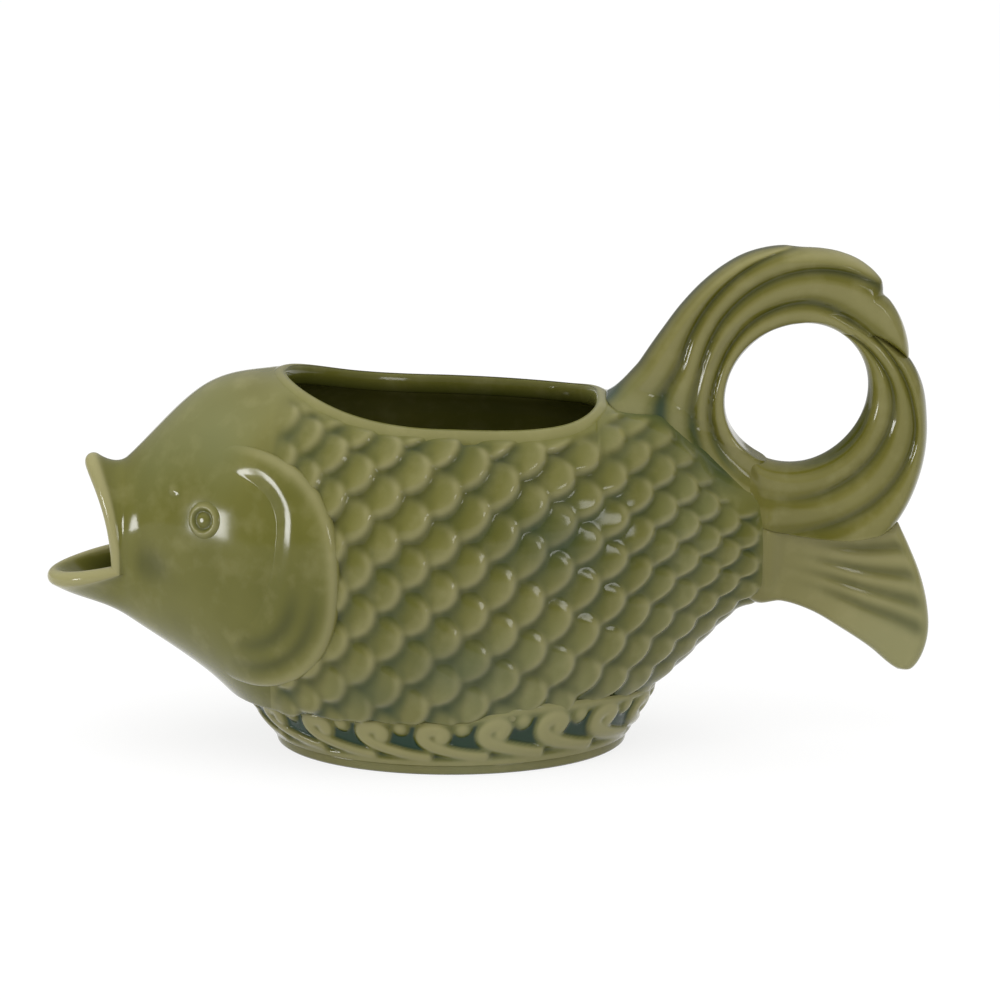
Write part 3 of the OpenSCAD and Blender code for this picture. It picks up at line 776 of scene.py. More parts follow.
# Eye: a low ring round a small domed pupil, square to the cheek
eyeLow, eyeHigh = nodeBox("right_eye")
eye = Sizes(
    profile=[
        (5.2, -0.6), (4.95, 0.0), (4.4, 0.55), (3.75, 0.95), (3.2, 0.85), (2.7, 0.42),
        (2.35, 0.28), (2.05, 0.45), (1.5, 0.9), (0.85, 1.2), (0.25, 1.25),
    ],
    back=1.2,
    hollow=(2.5, 0.45, 0.4),  # radius, width, strength
    crest=(3.85, 0.55),
    fine=44,
    around=72,
)
ex, ez = (eyeLow + eyeHigh)[[0, 2]] / 2 + np.array([eye.back, 0.0])
ey = float(cheekY(np.array(ex), np.array(ez)))
eyeUp = cheekNormal(np.array(ex), np.array(ez))
eyeSide = unit(np.cross(eyeUp, np.array([0.0, 0.0, 1.0])))
eyeTop = np.cross(eyeSide, eyeUp)
outR, outH = readProfile(eye.profile, np.linspace(0, len(eye.profile) - 1, eye.fine))
turn = fullTurn(eye.around)
around = np.cos(turn)[None, :, None] * eyeSide + np.sin(turn)[None, :, None] * eyeTop
rings = np.array([ex, ey, ez]) + outR[:, None, None] * around + outH[:, None, None] * eyeUp
hollowAt, hollowWide, strength = eye.hollow
crestAt, crestWide = eye.crest
everyTurn = np.ones(eye.around)
tints = {
    "poolAndShade": bell((outR - hollowAt) / hollowWide)[:, None] * everyTurn * strength,
    "edge": bell((outR - crestAt) / crestWide)[:, None] * everyTurn,
}
placePair("Eye", "_eye", "eye_glaze", eyeGlaze, rings, tints=tints)
print("eyes set")

# Lips: each a rounded edge on a curved wall that grows out of the snout
lips = Sizes(
    cornerZ=50.0,
    cornerX=mouthX - 2.0,
    halfWide=14.6,
    edge=2.2,
    upperTip=(-97.4, 79.6),
    lowerTip=(-108.2, 46.0),
    upperSweep=2.2,
    upperDrop=0.6,
    upperLean=0.45,
    upperNod=0.1,
    lowerLean=0.4,
    lowerFall=(0.92, 0.05),
    lowerLift=0.75,
    flare=0.35,
    leave=(0.8, 0.55, 0.5),  # forward, then up for the upper and for the lower lip
    pull=0.38,  # how far the sheet keeps its way at either end
    mouthShadeBend=0.6,
    around=84,
    along=22,
    nose=12,
)


def rootPoint(x, turn, side, depth):
    full = 2 / float(fullness(x))
    crown, keel, middle = float(crownZ(x)), float(keelZ(x)), float(widestZ(x))
    y = (float(sideY(x)) - depth) * max(math.cos(turn), 0) ** full
    tall = crown - depth - middle if turn > 0 else keel + depth - middle
    z = middle + tall * abs(math.sin(turn)) ** full
    return np.array([x, side * y, z])


# Cross-section of a lip: outer sheet from the snout, round the edge, and back inside
def lipRing(turn, side, rim, outward, forward, leave):
    root = rootPoint(mouthX, turn, side, 0)
    rootIn = rootPoint(mouthX, turn, side, jugBody.wall)
    grow = unit(root - rootPoint(mouthX + 0.5, turn, side, 0))
    outer = rim + outward * lips.edge
    inner = rim - outward * lips.edge
    far = np.linalg.norm(outer - root)
    k = np.linspace(0, 1, lips.along)[:, None]
    first, second = root + grow * far * lips.pull, outer - leave * far * lips.pull
    sheet = (1 - k) ** 3 * root + 3 * k * (1 - k) ** 2 * first + 3 * k**2 * (1 - k) * second + k**3 * outer
    bend = np.linspace(0, math.pi, lips.nose + 2)[1:-1, None]
    nose = rim + lips.edge * (np.cos(bend) * outward + np.sin(bend) * forward)
    return np.concatenate([sheet, nose, inner + (rootIn - inner) * k])


middle = float(widestZ(mouthX))
cornerEnd = crownZ(mouthX) if lips.cornerZ > middle else keelZ(mouthX)
cornerTurn = math.asin((lips.cornerZ - middle) / abs(float(cornerEnd) - middle))


def lipPiece(name, node, tip, upper):
    rings = []
    for s in np.linspace(-1, 1, lips.around + 1):
        share = math.pi / 2 * (1 - abs(s))
        side = -1 if s < 0 else 1
        up, out = math.sin(share), side * math.cos(share)
        turn = mix(cornerTurn, math.pi / 2 if upper else -math.pi / 2, 1 - abs(s))
        rim = np.array([
            mix(lips.cornerX, tip[0], up ** lips.upperSweep if upper else up),
            (lips.halfWide - lips.edge) * out,
            mix(lips.cornerZ, tip[1] - lips.edge * lips.upperDrop if upper else tip[1], up),
        ])
        ahead, upperUp, lowerUp = lips.leave
        leave = unit(np.array([-ahead, lips.flare * out, (upperUp if upper else lowerUp) * up]))
        if upper:
            outward = unit(np.array([lips.upperLean * up, out, up]))
            forward = unit(np.array([-1.0, 0.0, -lips.upperNod]))
        else:
            fall, least = lips.lowerFall
            outward = unit(np.array([-lips.lowerLean * up, out, -fall * up - least]))
            forward = np.array([-up, lips.flare * out, lips.lowerLift])
        forward = unit(forward - outward * float(forward @ outward))
        rings.append(lipRing(turn, side, rim, outward, forward, leave))
    rings = np.array(rings)
    noseEnd = lips.along + lips.nose
    edge = np.zeros(rings.shape[:2])
    edge[:, lips.along - 2:noseEnd - 1] = 1.0
    # the inside of each lip darkens towards the mouth: painted shade
    poolAndShade = np.zeros(rings.shape[:2])
    poolAndShade[:, noseEnd:] = np.linspace(0, 1, rings.shape[1] - noseEnd) ** lips.mouthShadeBend
    lip = skin(name, rings, tints={"poolAndShade": poolAndShade, "edge": blur(edge, 5)})
    place(lip, "lip_glaze", lipGlaze, node)


lipPiece("upperLip", "upper_lip", lips.upperTip, True)
lipPiece("lowerLip", "lower_lip", lips.lowerTip, False)
print("lips drawn out")

# Rim: a rounded edge that runs from the back over into the opening
rim = Sizes(
    profile=[
        (3.9, -0.9), (3.4, -0.25), (2.8, 0.1), (2.1, 0.3), (1.3, 0.38), (0.6, 0.2), (-0.1, -0.4),
        (-0.5, -1.3), (-0.7, -2.8), (-0.55, -4.6), (-0.1, -5.4), (0.9, -5.2), (2.2, -3.4), (3.3, -1.9),
    ],
    poolShadeFrom=(-1.2, -5.2),
    poolShadeShare=0.6,
    rubFrom=(-0.6, 0.8),
    rubAndSheenShare=0.55,
    fine=56,
    around=260,
)


# Height of the body's skin over a place on the floor plan, towards its crown or its keel
def skinZ(x, y, end):
    full = fullness(x)
    middle = widestZ(x)
    out = np.minimum(np.abs(y) / sideY(x), justInside)
    return middle + (end - middle) * (1 - out**full) ** (1 / full)


def backZ(x, y):
    return skinZ(x, y, crownZ(x))


def bellyZ(x, y):
    return skinZ(x, y, keelZ(x))


def signedPower(value, power):
    return np.sign(value) * np.abs(value) ** power


closed = rim.profile + rim.profile[:1]
across, lift = readProfile(closed, np.linspace(0, len(rim.profile), rim.fine, endpoint=False))
turn = fullTurn(rim.around)
long, square = gapForm(np.cos(turn) > 0)
edgeX = fillerX + long * signedPower(np.cos(turn), 2 / square)
edgeY = fillerB * signedPower(np.sin(turn), 2 / square)
steep = 2 - 2 / square
way = unit(np.stack([
    signedPower(np.cos(turn), steep) / long,
    signedPower(np.sin(turn), steep) / fillerB,
], axis=-1))
px = edgeX[:, None] + way[:, :1] * across
py = edgeY[:, None] + way[:, 1:] * across
outside = np.maximum(across, 0)
pz = backZ(edgeX[:, None] + way[:, :1] * outside, edgeY[:, None] + way[:, 1:] * outside) + lift
# darker down the inside into the opening: glaze pooled and painted shade; paler over the rounded top: glaze
# thin there and painted light from above
tints = {
    "poolAndShade": np.ones((rim.around, 1)) * ramp(lift, *rim.poolShadeFrom)[None] * rim.poolShadeShare,
    "edge": np.ones((rim.around, 1)) * ramp(lift, *rim.rubFrom)[None] * rim.rubAndSheenShare,
}
collar = skin("fillerRim", np.stack([px, py, pz], axis=-1), loop=True, tints=tints)
place(collar, "lip_glaze", lipGlaze, "filler_rim")
print("rim rounded")

# Foot: a plain base rim and a flared band with running-wave scrolls
foot = Sizes(
    thick=7.0,
    spread=1.8,
    flareLong=7.8,
    flareWide=3.0,
    flareBend=1.4,
    tuck=0.6,  # how far the band's top goes into the belly
    scrolls=18,
    rise=1.6,
    recess=0.45,
    path=[
        (0.36, 0.64), (0.38, 0.75), (0.26, 0.83), (0.10, 0.78), (0.06, 0.62), (0.16, 0.47),
        (0.42, 0.34), (0.80, 0.23), (1.10, 0.18),
    ],
    thickness=(2.6, 1.8),
    thinning=(3.0, 8.0),  # points of the path between which a scroll thins
    climb=0.4,  # how far the scrolls follow the band's top
    bump=(0.70, 0.84, 2.6, 0.85),  # place along and up a scroll, radius, height
    topEdge=(0.80, 1.0, 0.75),  # from and to, as shares of the band's height, and height
    lowEdge=(0.20, 0.08, 0.8),
    settle=(1.05, 0.93),
    poolBelow=0.45,
    poolShadeShare=0.8,
    tealBelow=0.4,
    tealFrom=(0.12, 0.42),
    tealShare=0.9,
    rubFrom=(0.5, 0.9),
    baseRub=(-1.2, 0.0),
    baseRubShare=0.5,
    profile=[
        (-7.0, 0.6), (-6.4, 0.0), (-0.8, 0.0), (-0.2, 0.5), (0.0, 1.4), (0.0, 2.6), (-0.35, 3.2),
        (-6.4, 3.2), (-7.0, 2.6),
    ],
    around=760,
    levels=40,
    innerLevels=6,
    pathFine=60,
    baseFine=45,
    walkFine=4001,
)
footA, footB = footHigh[0] + foot.spread, footHigh[1] + foot.spread
baseTop = footHigh[2]
fineTurn = np.linspace(0, 2 * np.pi, foot.walkFine)
walk = np.append(0, np.cumsum(np.hypot(
    np.diff((footA + 0.5 * foot.flareLong) * np.cos(fineTurn)),
    np.diff((footB + 0.5 * foot.flareWide) * np.sin(fineTurn)),
)))
turn = np.interp(np.linspace(0, walk[-1], foot.around, endpoint=False), walk, fineTurn)
arc = np.interp(turn, fineTurn, walk)
pitch = walk[-1] / foot.scrolls
bandTop = bellyZ((footA + foot.flareLong) * np.cos(turn), (footB + foot.flareWide) * np.sin(turn))
bandTop = np.maximum(footTop, bandTop + foot.tuck)


def bandRing(level, depth):
    out = 1 - (1 - level) ** foot.flareBend
    x = (footA + foot.flareLong * out - depth) * np.cos(turn)
    y = (footB + foot.flareWide * out - depth) * np.sin(turn)
    return np.stack([x, y, mix(baseTop, bandTop, level)], axis=-1)


levels = np.linspace(0, 1, foot.levels)
face = np.array([bandRing(level, 0) for level in levels])
tall = footTop - baseTop
along = np.linspace(0, len(foot.path) - 1, foot.pathFine)
pathX, pathZ = readProfile(foot.path, along)
pathX, pathZ = pathX * pitch, pathZ * tall
reach = mix(foot.thickness[0], foot.thickness[1], ramp(along, *foot.thinning))
bumpX, bumpZ, bumpR, bumpHigh = foot.bump
best = np.zeros((foot.levels, foot.around))
local = np.mod(arc, pitch)
above = levels[:, None] * mix(tall, bandTop - baseTop, foot.climb)
for shift in (-pitch, 0.0, pitch):
    for k in range(len(along)):
        gap = np.hypot(local[None] + shift - pathX[k], above - pathZ[k]) / reach[k]
        best = np.maximum(best, np.sqrt(np.maximum(0, 1 - gap**2)))
    gap = np.hypot(local[None] + shift - bumpX * pitch, above - bumpZ * tall) / bumpR
    best = np.maximum(best, bumpHigh * np.sqrt(np.maximum(0, 1 - gap**2)))
for start, end, high in (foot.topEdge, foot.lowEdge):
    best = np.maximum(best, high * ramp(above / tall, start, end))
best = blur(best, 2)
outward = unit(np.stack([np.cos(turn) / footA, np.sin(turn) / footB, np.zeros_like(turn)], axis=-1))
stand = (best * foot.rise - foot.recess) * ramp(levels, *foot.settle)[:, None]
face = face + outward[None] * stand[..., None]
innerLevels = np.linspace(1, 0, foot.innerLevels)
innerFace = np.array([bandRing(level, foot.thick) for level in innerLevels])
rings = np.concatenate([face, innerFace]).transpose(1, 0, 2)
plainBack = np.zeros((foot.innerLevels, foot.around))
poolAndShade = ramp(best, foot.poolBelow, 0) * foot.poolShadeShare
teal = ramp(best, foot.tealBelow, 0) * ramp(levels, *foot.tealFrom)[:, None] * foot.tealShare
rub = ramp(best, *foot.rubFrom)
fields = {"poolAndShade": poolAndShade, "teal": teal, "edge": rub}
tints = {tint: np.concatenate([field, plainBack]).T for tint, field in fields.items()}
band = skin("waveBand", rings, loop=True, tints=tints)
place(band, "foot_glaze", footGlaze, "wave_band", "wave_scrolls")

closed = np.array(foot.profile + foot.profile[:1])
at = np.linspace(0, len(foot.profile), foot.baseFine, endpoint=False)
across, up = [np.interp(at, np.arange(len(closed)), column) for column in closed.T]
px = (footA + across[None]) * np.cos(turn)[:, None]
py = (footB + across[None]) * np.sin(turn)[:, None]
rings = np.stack([px, py, np.ones((len(turn), 1)) * up[None]], axis=-1)
rub = ramp(across, *foot.baseRub) * foot.baseRubShare
tints = {"edge": np.ones((len(turn), 1)) * rub[None]}
base = skin("footRing", rings, loop=True, tints=tints)
place(base, "foot_glaze", footGlaze, "foot_ring")
print("foot turned")

# Tail stem: the scaly body carried on to where the fins spring
_, outer, normals, tints = cutSheet(scalySheet, tailX, forkX)
stem = skin("tailStem", bothSides(outer), tints=tintBoth(tints), normals=bothSides(normals))
place(stem, "body_glaze", bodyGlaze, "tail_stem")
print("tail stem closed")

# Fins: polar outlines and grooves about the middle of the finger ring, degrees and millimetres
ring = Sizes(
    middle=(94.34, 97.39),
    bore=19.4,
    oval=1.05,
    ovalTurn=48.0,
    shift=0.5,
    shiftTurn=10.0,
    boreRound=4.5,
    edgeRound=3.5,
    groove=0.34,
    thinnest=0.5,
    shadeFrom=(0.92, 0.22),
    rubFrom=(0.8, 1.0),
    rimRubFrom=(0.92, 1.0),
    rimRub=0.4,
    steps=200,
    across=96,
)
ringX, ringZ = ring.middle
boreLine = [(-200, ring.bore), (270, ring.bore)]  # the bore's edge, over all turns in use


def boreAt(turn):
    oval = ring.oval * np.cos(2 * np.radians(turn - ring.ovalTurn))
    return ring.bore + oval - ring.shift * np.cos(np.radians(turn + ring.shiftTurn))


def polar(radius, turn):
    turn = np.radians(turn)
    return np.stack([ringX + radius * np.cos(turn), ringZ + radius * np.sin(turn)], axis=-1)


# How far across a ridge a point lies: 1 on its crest, 0 in the groove beside it
def ridgeShare(points, edges, wrapBelow):
    dx, dz = points[..., 0] - ringX, points[..., 1] - ringZ
    radius, turn = np.hypot(dx, dz), np.degrees(np.arctan2(dz, dx))
    turn = np.where(turn < wrapBelow, turn + 360, turn)
    lines = [follow(e, np.clip(turn, e[0][0], e[-1][0])) for e in edges]
    share = np.zeros_like(radius)
    for low, high in zip(lines[:-1], lines[1:]):
        s = (radius - low) / np.maximum(high - low, ring.thinnest) * 2 - 1
        crest = np.sqrt(np.maximum(0, 1 - np.clip(np.abs(s), 0, 1) ** 2))
        share = np.maximum(share, np.where(np.abs(s) <= 1, crest, 0))
    return blur(share, 3)


def ridged(half, grow, share):
    return half * (1 - ring.groove * grow * (1 - share))


def grooveShade(share):
    return ramp(share, *ring.shadeFrom)


def crestRub(share):
    return ramp(share, *ring.rubFrom)


def roundEnd(left, radius):
    return np.sqrt(1 - (1 - np.clip(left / radius, 0, 1)) ** 2)


def edgeRound(points, v, low, high):
    wide = np.linalg.norm(points[:, -1] - points[:, 0], axis=-1)[:, None]
    return roundEnd(v * wide, low) * roundEnd((1 - v) * wide, high)


def smoothMax(a, b, soft):
    return 0.5 * (a + b + np.sqrt((a - b) ** 2 + soft**2))


# A fin swells into a fillet where it stands on the back
fillet = Sizes(radius=5.2, swell=0.7, behind=6.0, passes=14, settle=0.5)


def rootFillet(points, depth):
    x, z = points[..., 0], points[..., 1]
    onBody = ramp(x, forkX, forkX - fillet.behind)
    onto = np.minimum(x, forkX)
    wide = depth
    for _ in range(fillet.passes):
        low = 1 - np.clip(z - backZ(onto, wide), 0, fillet.radius) / fillet.radius
        wide = mix(wide, depth + onBody * fillet.swell * fillet.radius * low**2, fillet.settle)
    return wide, z - backZ(onto, wide)


# Half thickness of the tail stem, dying away behind the fork, so that the fins grow out of it
tail = Sizes(dive=1.5, diveFrom=0.4, diveLong=2.4, dieAway=10.0, soft=2.0)


def tailSkin(points):
    x, z = points[..., 0], points[..., 1]
    dive = tail.dive * np.clip((forkX - tail.diveFrom - x) / tail.diveLong, 0, 1)
    stem = cheekY(np.minimum(x, forkX), z) - dive
    return np.maximum(stem, 0) * ramp(x, forkX + tail.dieAway, forkX)


def finPiece(name, node, points, depth, tints):
    near = np.stack([points[..., 0], -depth, points[..., 1]], axis=-1)
    fin = skin(name, bothSides(near), tints=tintBoth(tints))
    place(fin, "fin_glaze", finGlaze, node)


v = (1 - np.cos(np.linspace(0, np.pi, ring.across)))[None] / 2
rimRub = ring.rimRub * ramp(v, *ring.rimRubFrom)

# Handle arch: three ridges and a thin one along the bore, from the back up and over
arch = Sizes(
    edge=[
        (10, 29.4), (18, 31.4), (24, 32.6), (38, 34.7), (46, 35.6), (50.5, 35.8), (52.5, 37.2), (55, 38.6),
        (65, 40.2), (74, 40.6), (81, 40.5), (89, 40.4), (96, 41.1), (104, 41.4), (112, 41.4), (120, 41.0),
        (131, 40.5), (142, 40.4), (155, 41.2), (168, 43.9), (174, 46.8), (178, 49.7), (180, 51.6),
        (182, 54.0), (200, 72.0),
    ],
    grooves=[
        [(0, 35.0), (16, 31.0), (35, 27.0), (52, 25.2), (70, 25.8), (86, 26.2), (130, 23.8), (166, 22.9),
         (216, 26.0), (260, 27.0)],
        [(0, 36.0), (16, 34.5), (30, 36.4), (50, 37.4), (65, 37.0), (86, 35.2), (130, 30.3), (166, 27.7),
         (198, 29.8), (260, 33.0)],
        [(0, 44.0), (60, 43.0), (80, 42.0), (89, 41.2), (105, 39.3), (130, 36.0), (152, 33.9), (166, 33.5),
         (184, 37.4), (260, 44.0)],
    ],
    outerRoot=(45.0, 88.0),
    innerRoot=(86.0, 69.0),
    outerTurn=(180.6, 16.5),
    innerTurn=(246.0, 58.0),
    rootHalf=7.4,
    tipHalf=5.7,
    sunk=0.07,  # share of the length that is sunk in the back
    growFrom=(0.03, 0.09),
    tipGrow=0.55,
    tipGrowFrom=(1.0, 0.85),
    tipWay=(0.38, 0.92),
    tipBulge=12.0,
    bulgeFrom=(0.72, 1.0),
    rootPinch=0.22,
    pinchLong=(0.0, 0.11),
    pinchWide=(0.0, 0.5),
    skinFrom=(74.0, 80.0),
    skinBlend=2.0,
    boreShrink=0.86,
    boreSide=(0.38, 0.50),
    tipLong=105.0,
    tipRound=3.2,
    tipEdge=0.05,
    poolShadeShare=0.8,
    crestShare=0.6,
    tealClear=(7.5, 1.5),
    tealEven=0.15,
    tealRear=(82.0, 72.0),
    tealShare=0.85,
    wrapBelow=-60,  # turns below this count on past half a turn
    crowding=1.25,
    steps=260,
)
t = np.linspace(0, 1, arch.steps)[:, None] ** arch.crowding
sunk = np.clip(1 - t / arch.sunk, 0, 1)
rise = np.clip((t[:, 0] - arch.sunk) / (1 - arch.sunk), 0, 1)
outerTurn = mix(*arch.outerTurn, rise)
innerTurn = mix(*arch.innerTurn, rise)
outerLine = polar(follow(arch.edge, outerTurn), outerTurn)
innerLine = polar(boreAt(innerTurn), innerTurn)
outerLine = mix(outerLine, np.array(arch.outerRoot), sunk)
innerLine = mix(innerLine, np.array(arch.innerRoot), sunk)
points = mix(innerLine[:, None], outerLine[:, None], v[..., None])
bulge = arch.tipBulge * v * (1 - v) * ramp(t, *arch.bulgeFrom)
points = points + np.array(arch.tipWay) * bulge[..., None]
share = ridgeShare(points, [boreLine] + arch.grooves + [arch.edge], arch.wrapBelow)
grow = ramp(t, *arch.growFrom) * mix(arch.tipGrow, 1, ramp(t, *arch.tipGrowFrom))
depth = ridged(mix(arch.rootHalf, arch.tipHalf, ease(t)), grow, share)
depth = depth * edgeRound(points, v, ring.boreRound, ring.edgeRound)
pinch = (1 - ramp(t, *arch.pinchLong)) * (1 - ramp(v, *arch.pinchWide))
depth = depth * (1 - arch.rootPinch * pinch)
depth, clear = rootFillet(points, depth)
skinHalf = tailSkin(points) * ramp(points[..., 0], *arch.skinFrom)
depth = mix(depth, smoothMax(depth, skinHalf, tail.soft), ease(skinHalf / arch.skinBlend))
tipEnd = roundEnd((1 - t) * arch.tipLong, arch.tipRound).clip(arch.tipEdge)
depth = depth * mix(arch.boreShrink, tipEnd, ramp(v, *arch.boreSide))
hollow = grooveShade(share)
wet = ramp(clear, *arch.tealClear) * ramp(points[..., 0], *arch.tealRear)
finPiece("handleArch", "handle_arch", points, depth, {
    "poolAndShade": hollow * grow * arch.poolShadeShare,
    "edge": crestRub(share) * arch.crestShare + rimRub,
    "teal": wet * mix(arch.tealEven, 1, hollow) * arch.tealShare,
})

# Upper tail lobe: from under the tip of the arch round the ring and into the stem
lobe = Sizes(
    edge=[
        (-54, 45.6), (-34, 40.4), (-12, 35.9), (5, 33.7), (18, 31.6), (35, 27.8), (50, 25.8), (62, 24.8),
    ],
    grooves=[
        [(-140, 31.0), (-100, 28.8), (-80, 27.9), (-63, 27.0), (-38, 26.3), (-2, 25.8), (30, 23.2),
         (64, 20.4)],
        [(-140, 42.0), (-90, 37.4), (-67, 36.4), (-46, 35.7), (-19, 33.4), (-2, 30.6), (25, 27.2),
         (64, 24.6)],
    ],
    homeEdge=[(-200, 70.0), (-90, 56.0)],  # carries the edge on over the stem
    parting=[(78.0, 65.0), (90.5, 60.3), (106.4, 58.0), (115.0, 58.9), (122.5, 61.0)],
    rootX=forkX - 5.0,
    notchAt=0.6,
    overlap=1.3,
    innerTurn=(60.0, -137.0),
    outerTurn=(60.0, -54.0),
    wrapBelow=-200,
    joinOver=0.06,
    rootHalf=7.2,
    tipHalf=5.2,
    swellRate=1.1,
    growFrom=(0.98, 0.63),
    rootShrink=0.1,
    shrinkFrom=(0.9, 1.0),
    rootPinch=0.4,
    pinchLong=(0.93, 1.0),
    pinchWide=(0.1, 0.6),
    outerRound=(2.8, 1.0),
    roundOver=0.1,
    poolShadeShare=0.65,
    crestShare=0.35,
)
t = np.linspace(0, 1, ring.steps)[:, None]
innerTurn = mix(*lobe.innerTurn, t[:, 0])
homeward = np.clip((t - lobe.notchAt) / (1 - lobe.notchAt), 0, 1)
outerTurn = mix(*lobe.outerTurn, np.clip(t[:, 0] / lobe.notchAt, 0, 1))
edgeLine = polar(follow(lobe.edge, outerTurn), outerTurn)
partX = mix(edgeLine[-1, 0], lobe.rootX, homeward)
partLine = np.concatenate([partX, follow(lobe.parting, partX) - lobe.overlap], axis=1)
outerLine = mix(edgeLine, partLine, ease(homeward / lobe.joinOver))
innerLine = polar(boreAt(innerTurn), innerTurn)
points = mix(innerLine[:, None], outerLine[:, None], v[..., None])
lines = [boreLine] + lobe.grooves + [lobe.homeEdge + lobe.edge]
share = ridgeShare(points, lines, lobe.wrapBelow)
grow = ramp(t, *lobe.growFrom)
half = mix(lobe.tipHalf, lobe.rootHalf, ease(t * lobe.swellRate))
half = half * (1 - lobe.rootShrink * ramp(t, *lobe.shrinkFrom))
half = half * (1 - lobe.rootPinch * ramp(t, *lobe.pinchLong) * (1 - ramp(v, *lobe.pinchWide)))
depth = smoothMax(ridged(half, grow, share), tailSkin(points), tail.soft)
outerRound = mix(*lobe.outerRound, ease(homeward / lobe.roundOver))
depth = depth * edgeRound(points, v, ring.boreRound, outerRound)
finPiece("upperTailLobe", "upper_tail_lobe", points, depth, {
    "poolAndShade": grooveShade(share) * grow * lobe.poolShadeShare,
    "edge": crestRub(share) * lobe.crestShare + rimRub * (1 - homeward),
})

# Lower tail lobe: a fan of rays below the parting line
fan = Sizes(
    under=[  # z and x, from the root to the tip
        (40.6, 79.0), (38.6, 84.0), (39.3, 89.7), (36.6, 97.9), (31.7, 106.0), (26.0, 114.3), (21.4, 119.6),
        (19.2, 122.6),
    ],
    free=[  # x and z, down the free edge
        (122.0, 61.0), (125.0, 54.5), (128.2, 46.5), (130.2, 38.5), (130.8, 30.5), (129.3, 23.8),
        (126.4, 19.6), (122.6, 19.2),
    ],
    rays=[(0.15, 0.42), (0.34, 0.32), (0.51, 0.28), (0.67, 0.30)],  # place across the fan, start
    rayFade=(-0.1, 0.35),
    rayEnd=(1.0, 0.92),
    rayWide=0.05,
    rayDeep=0.42,
    rootHalf=6.0,
    freeHalf=3.0,
    partRound=2.6,
    underRound=3.0,
    freeLong=45.0,
    freeRound=2.4,
    freeEdge=0.02,
    closeFrom=(1.0, 0.9),
    poolShadeShare=0.45,
    freeRub=0.8,
    freeRubFrom=(0.93, 0.98),
    rub=(0.46, 1.0),
    rubTo=0.7,
    rayRub=0.6,
)


def alongPath(path, k):
    path = np.array(path)
    steps = np.append(0, np.cumsum(np.linalg.norm(np.diff(path, axis=0), axis=1)))
    return np.stack([follow(list(zip(steps, path[:, i])), k * steps[-1]) for i in (0, 1)], axis=-1)


under = alongPath(fan.under, t[:, 0])[:, ::-1]
free = alongPath(fan.free, v[0])
topX = mix(lobe.rootX, fan.free[0][0], t)
topZ = follow(lobe.parting, topX) + lobe.overlap * ramp(t, *fan.closeFrom)
top = np.concatenate([topX, topZ], axis=1)
rootLine = mix(top[0], under[0], v[0][:, None])
points = mix(top[:, None], under[:, None], v[..., None]) + mix(rootLine[None], free[None], t[..., None])
corner = mix(mix(top[0], under[0], v[..., None]), mix(top[-1], under[-1], v[..., None]), t[..., None])
points = points - corner
dip = np.zeros_like(v * t)
for at, start in fan.rays:
    fade = ramp(t - start, *fan.rayFade) * ramp(t, *fan.rayEnd)
    dip = np.maximum(dip, fade * bell((v - at) / fan.rayWide))
half = mix(fan.rootHalf, fan.freeHalf, ease(t)) - fan.rayDeep * dip
depth = smoothMax(half, tailSkin(points), tail.soft)
depth = depth * edgeRound(points, v, fan.partRound, fan.underRound)
depth = depth * roundEnd((1 - t) * fan.freeLong, fan.freeRound).clip(fan.freeEdge)
rub = mix(*fan.rub, ease(t / fan.rubTo)) * (1 - fan.rayRub * dip)
finPiece("lowerTailLobe", "lower_tail_lobe", points, depth, {
    "poolAndShade": dip * fan.poolShadeShare,
    "edge": np.maximum(fan.freeRub * ramp(t, *fan.freeRubFrom), rub),
})
print("fins drawn")

# Studio: pale floor, a soft key from the left front, a broad light above and a weak fill
studio = Sizes(
    floorHalf=6.0,
    floorDrop=0.00003,
    floorGlow=0.82,
    floorTone=(0.80, 0.80, 0.79, 1),
    floorSeenTone=(0.2, 0.2, 0.2, 1),
    horizon=0.30,
    zenith=0.95,
    key=Sizes(at=(-2.18, -1.20, 0.21), size=(0.52, 0.40), watts=14.0, glossy=True),
    top=Sizes(at=(-0.1, -0.1, 1.4), size=(1.8, 1.5), watts=12.0, glossy=False),
    fill=Sizes(at=(0.75, -1.25, 0.35), size=(0.40, 0.30), watts=2.4, glossy=True),
    target=(0.0134, 0.0, 0.0672),
    elevation=15.0,
    frameWide=0.2727,
    distance=1.8,
    sensor=36.0,
)


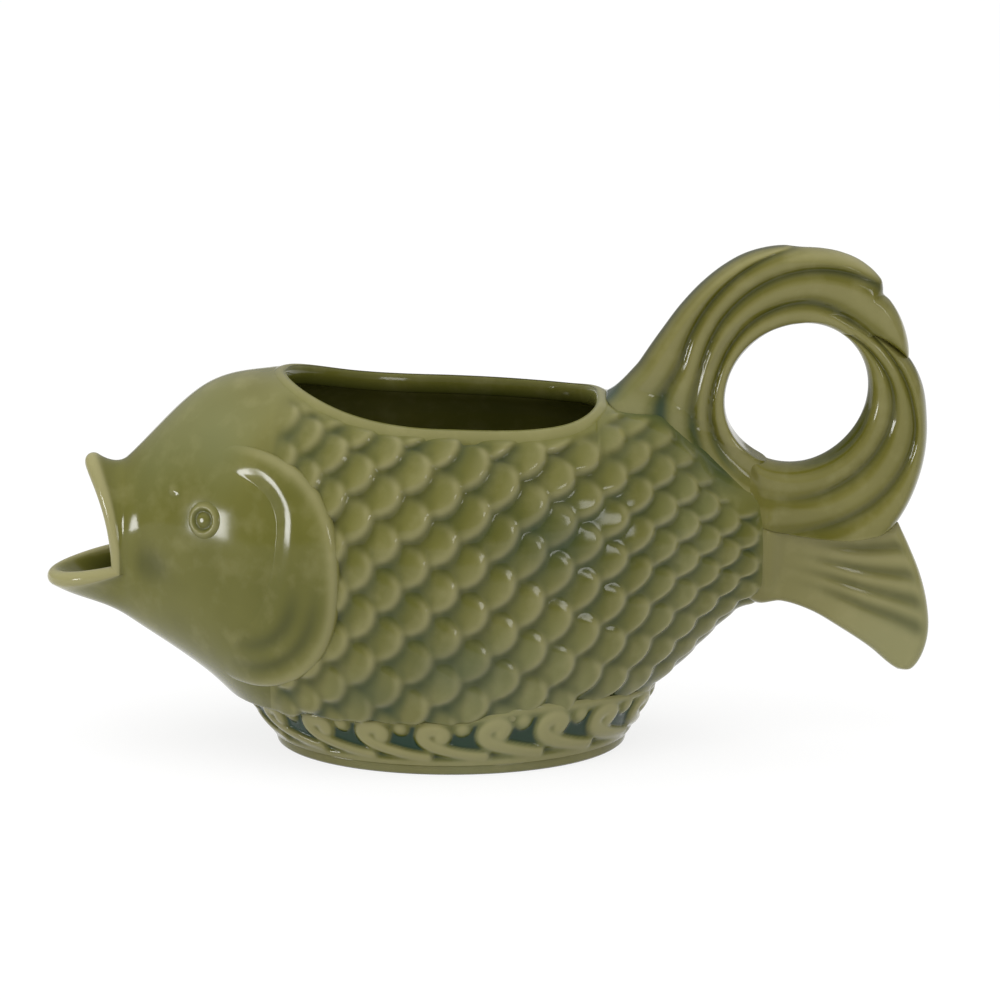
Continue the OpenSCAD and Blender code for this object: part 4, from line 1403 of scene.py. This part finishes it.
def floorMaterial():
    material = bpy.data.materials.new("paleFloor")
    material.use_nodes = True
    tree = material.node_tree
    tree.nodes.clear()
    rays = tree.nodes.new("ShaderNodeLightPath").outputs
    seen = rays["Is Camera Ray"]
    for ray in ("Is Glossy Ray", "Is Transmission Ray"):
        seen = addNode(tree, "Math", {0: seen, 1: rays[ray]}, use_clamp=True)
    matt = addNode(tree, "BsdfDiffuse", {"Color": studio.floorTone})
    dim = addNode(tree, "BsdfDiffuse", {"Color": studio.floorSeenTone})
    glow = addNode(tree, "Emission", {"Strength": studio.floorGlow})
    bright = addNode(tree, "AddShader", {0: dim, 1: glow})
    shown = addNode(tree, "MixShader", {0: seen, 1: matt, 2: bright})
    setInputs(tree, tree.nodes.new("ShaderNodeOutputMaterial"), {0: shown})
    return material


size = studio.floorHalf
floorMesh = bpy.data.meshes.new("floor")
low = -studio.floorDrop  # a hair under the foot, so that the two faces don't share a plane
corners = [(-size, -size, low), (size, -size, low), (size, size, low), (-size, size, low)]
floorMesh.from_pydata(corners, [], [(0, 1, 2, 3)])
floorMesh.materials.append(floorMaterial())
floor = linked("floor", floorMesh)

world = bpy.data.worlds.new("studioWorld")
world.use_nodes = True
sky = world.node_tree
upward = addNode(sky, "SeparateXYZ", {0: addNode(sky, "TexCoord", {}, "Generated")}, "Z")
soft = addNode(sky, "MapRange", {"Value": upward, "To Min": studio.horizon, "To Max": studio.zenith})
setInputs(sky, sky.nodes["Background"], {"Color": (1, 1, 1, 1), "Strength": soft})
bpy.context.scene.world = world


def aim(thing, at, target):
    thing.location = at
    thing.rotation_euler = (Vector(target) - Vector(at)).to_track_quat("-Z", "Y").to_euler()


for name, form in (("key", studio.key), ("top", studio.top), ("fill", studio.fill)):
    light = bpy.data.lights.new(name, "AREA")
    light.shape = "RECTANGLE"
    light.size, light.size_y = form.size
    light.energy = form.watts
    lamp = linked(name, light)
    lamp.visible_glossy = form.glossy
    aim(lamp, form.at, studio.target)

lens = bpy.data.cameras.new("camera")
lens.sensor_width = studio.sensor
lens.lens = studio.sensor * studio.distance / studio.frameWide
camera = linked("camera", lens)
rise = math.radians(studio.elevation)
target = Vector(studio.target)
aim(camera, target + studio.distance * Vector((0, -math.cos(rise), math.sin(rise))), target)
bpy.context.scene.camera = camera
bpy.context.scene.view_settings.view_transform = "Standard"
print("studio lit")
